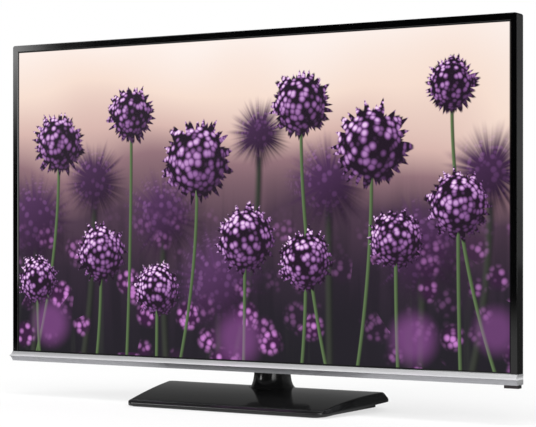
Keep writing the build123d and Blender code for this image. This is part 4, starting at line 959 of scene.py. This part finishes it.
def makeFootPads():
    # round rubber pads with a turned-down edge and short ribs round the rim
    s = footPads
    tree, source, result = newTree("ribbedPad", [
        ("Radius", "NodeSocketFloat", 0.009), ("Height", "NodeSocketFloat", 0.001),
        ("Ribs", "NodeSocketInt", 18), ("Material", "NodeSocketMaterial", None)])
    radius, height = source.outputs["Radius"], source.outputs["Height"]
    low = product(tree, height, s["edgeHeight"])
    disc = roundBar(tree, product(tree, radius, s["edgeRadius"]), product(tree, height, 1 - s["edgeHeight"]),
                    low, sides=s["sides"], topRadius=radius)
    size = vectorOf(tree, product(tree, radius, s["ribLength"]), product(tree, radius, s["ribWidth"]),
                    product(tree, height, s["ribHeight"]))
    rib = moved(tree, cuboid(tree, size), vectorOf(tree, product(tree, radius, s["ribPlace"]), 0.0, low))
    line = addNode(tree, "GeometryNodeMeshLine")
    setInput(tree, line, "Count", source.outputs["Ribs"])
    setInput(tree, line, "Offset", (0, 0, 0))
    index = addNode(tree, "GeometryNodeInputIndex")
    angle = mathNode(tree, "DIVIDE", product(tree, index.outputs[0], 2 * math.pi), source.outputs["Ribs"])
    spokes = instanced(tree, line.outputs["Mesh"], rib, vectorOf(tree, z=angle))
    pad = joined(tree, disc, spokes)
    finishTree(tree, source, result, instanced(tree, source.outputs["Places"], pad))
    mesh = runTree("footPads", tree, [(x, y, 0) for x in s["placesX"] for y in s["placesY"]], {
        "Radius": s["radius"], "Height": s["height"], "Ribs": s["ribs"], "Material": rubber})
    newPiece("footPads", mesh, "stand", "rubber_black", rubber, "base_feet")


makeScrews()
makeVentBars()
makeFootPads()
print("screws, vent bars and feet made")


def addLamp(name, place, target, width, height, power):
    data = bpy.data.lights.new(name, "AREA")
    data.shape = "RECTANGLE"
    data.size, data.size_y = width, height
    data.energy = power
    lamp = addObject(name, data)
    lamp.location = place
    lamp.rotation_euler = (Vector(target) - Vector(place)).to_track_quat("-Z", "Y").to_euler()
    return lamp


studio = {
    "floorHalf": 9.0, "floorColour": (0.93, 0.93, 0.93), "ambient": 0.55,
    # what mirrors see of the floor: bright in front of the set, fading with distance
    "floorBright": (0.25, -0.75),
    "floorFade": [(0.0, 0.93), (0.13, 0.90), (0.24, 0.55), (0.45, 0.12), (1.0, 0.02)],
    "floorFadeReach": 9.0, "floorRear": 0.085, "floorLeftCut": (-1.35, -0.5), "floorFrontEnd": (-0.12, 0.16),
    "shadowCover": 0.66, "shadowEnd": (0.5, 1.6),
    # what mirrors see of the room, by the height of the view: behind the set and in front of it
    "roomBehind": [(0.0, 0.24), (0.02, 0.30), (0.05, 0.33), (0.09, 0.28), (0.20, 0.21), (0.34, 0.12),
                   (0.50, 0.06), (0.64, 0.12), (0.72, 0.06), (0.90, 0.03), (1.0, 0.40)],
    "roomFront": [(0.0, 0.012), (0.03, 0.004), (0.62, 0.004), (0.85, 0.80)],
    # a soft card to the front left, low enough that the top edge doesn't mirror it in views from above
    "card": 6.4, "cardSide": (0.775, 0.835), "cardEnd": (1.15, 1.4),
    "cardHeight": [(0.033, 0.0), (0.05, 0.045), (0.0645, 0.3), (0.096, 1.0), (0.135, 1.0), (0.18, 0.0)],
}


def makeFloor():
    half = studio["floorHalf"]
    mesh = bpy.data.meshes.new("studioFloor")
    mesh.from_pydata([(-half, -half, 0), (half, -half, 0), (half, half, 0), (-half, half, 0)], [],
                     [(0, 1, 2, 3)])
    floor = addObject("studioFloor", mesh)
    material, tree, shader = newMaterial("floorPaper", studio["floorColour"], 0.9)
    place = objectPlace(tree)
    # the camera sees white paper, with a faint shadow near the base
    far = rangeNode(tree, vectorMath(tree, "LENGTH", place), *studio["shadowEnd"], 0.0, 1.0, "SMOOTHSTEP")
    path = addNode(tree, "ShaderNodeLightPath").outputs
    seen = mathNode(tree, "MAXIMUM", path["Is Camera Ray"], path["Is Transmission Ray"])
    faint = rangeNode(tree, far, 0.0, 1.0, studio["shadowCover"], 1.0)
    white, mirrored = [addNode(tree, "ShaderNodeEmission") for _ in range(2)]
    paper = blendShaders(tree, product(tree, faint, seen), shader.outputs[0], white.outputs[0])
    # mirrors see a glow in front of the set that ends on the left, and a dim floor behind
    away = vectorMath(tree, "DISTANCE", place, (*studio["floorBright"], 0))
    near = rangeNode(tree, away, 0.0, studio["floorFadeReach"], 0.0, 1.0)
    fade = greyRamp(tree, near, studio["floorFade"])
    x, y, _ = axesOf(tree, place)
    front = rangeNode(tree, y, *studio["floorFrontEnd"], 1.0, 0.0, "SMOOTHSTEP")
    right = rangeNode(tree, x, *studio["floorLeftCut"], 0.0, 1.0, "SMOOTHSTEP")
    rear = studio["floorRear"]
    level = mixColour(tree, front, (rear, rear, rear, 1), fade)
    link(tree, mixColour(tree, 1.0, level, right, "MULTIPLY"), mirrored.inputs["Color"])
    surface = blendShaders(tree, path["Is Glossy Ray"], paper, mirrored.outputs[0])
    link(tree, surface, tree.nodes["Material Output"].inputs["Surface"])
    material.cycles.emission_sampling = "NONE"
    mesh.materials.append(material)


def makeWorld():
    world = bpy.data.worlds.new("studioWorld")
    bpy.context.scene.world = world
    world.use_nodes = True
    tree = world.node_tree
    tree.nodes.clear()
    plain, white, mirrored = [addNode(tree, "ShaderNodeBackground") for _ in range(3)]
    for background, strength in ((plain, studio["ambient"]), (white, 1.0), (mirrored, 1.0)):
        background.inputs["Color"].default_value = (1, 1, 1, 1)
        background.inputs["Strength"].default_value = strength
    side, ahead, height = axesOf(tree, addNode(tree, "ShaderNodeTexCoord").outputs["Generated"])
    behind = greyRamp(tree, height, studio["roomBehind"])
    front = greyRamp(tree, height, studio["roomFront"])
    room = mixColour(tree, rangeNode(tree, ahead, -0.2, 0.2, 0.0, 1.0, "SMOOTHSTEP"), front, behind)
    # the card: by how far to the left of the front the view goes, and by its height
    ratio = mathNode(tree, "DIVIDE", side, mathNode(tree, "MINIMUM", ahead, -0.001))
    card = rangeNode(tree, ratio, *studio["cardSide"], 0.0, 1.0, "SMOOTHSTEP")
    end = rangeNode(tree, ratio, *studio["cardEnd"], 1.0, 0.0, "SMOOTHSTEP")
    inFront = mathNode(tree, "LESS_THAN", ahead, -0.02)
    card = product(tree, card, end, inFront, studio["card"])
    glow = vectorMath(tree, "SCALE", greyRamp(tree, height, studio["cardHeight"]), scale=card)
    link(tree, vectorMath(tree, "ADD", room, glow), mirrored.inputs["Color"])
    path = addNode(tree, "ShaderNodeLightPath").outputs
    direct = mathNode(tree, "MAXIMUM", path["Is Camera Ray"], path["Is Transmission Ray"])
    indirect = blendShaders(tree, path["Is Glossy Ray"], plain.outputs[0], mirrored.outputs[0])
    surface = blendShaders(tree, direct, indirect, white.outputs[0])
    link(tree, surface, addNode(tree, "ShaderNodeOutputWorld").inputs["Surface"])


makeFloor()
makeWorld()
addLamp("keySoftbox", (-2.6, -2.4, 1.9), (0, 0, 0.3), 1.6, 1.6, 55)
addLamp("topSoftbox", (0.2, -0.6, 3.0), (0, 0, 0.2), 2.4, 1.6, 40)
addLamp("frontStrip", (1.95, -2.2, 0.85), (0, 0.05, 0.05), 1.3, 1.6, 32)
rearFill = addLamp("rearFill", (0.6, 3.0, 1.8), (0, 0, 0.3), 2.0, 1.4, 30)
rearFill.visible_glossy = False
print("studio lit")
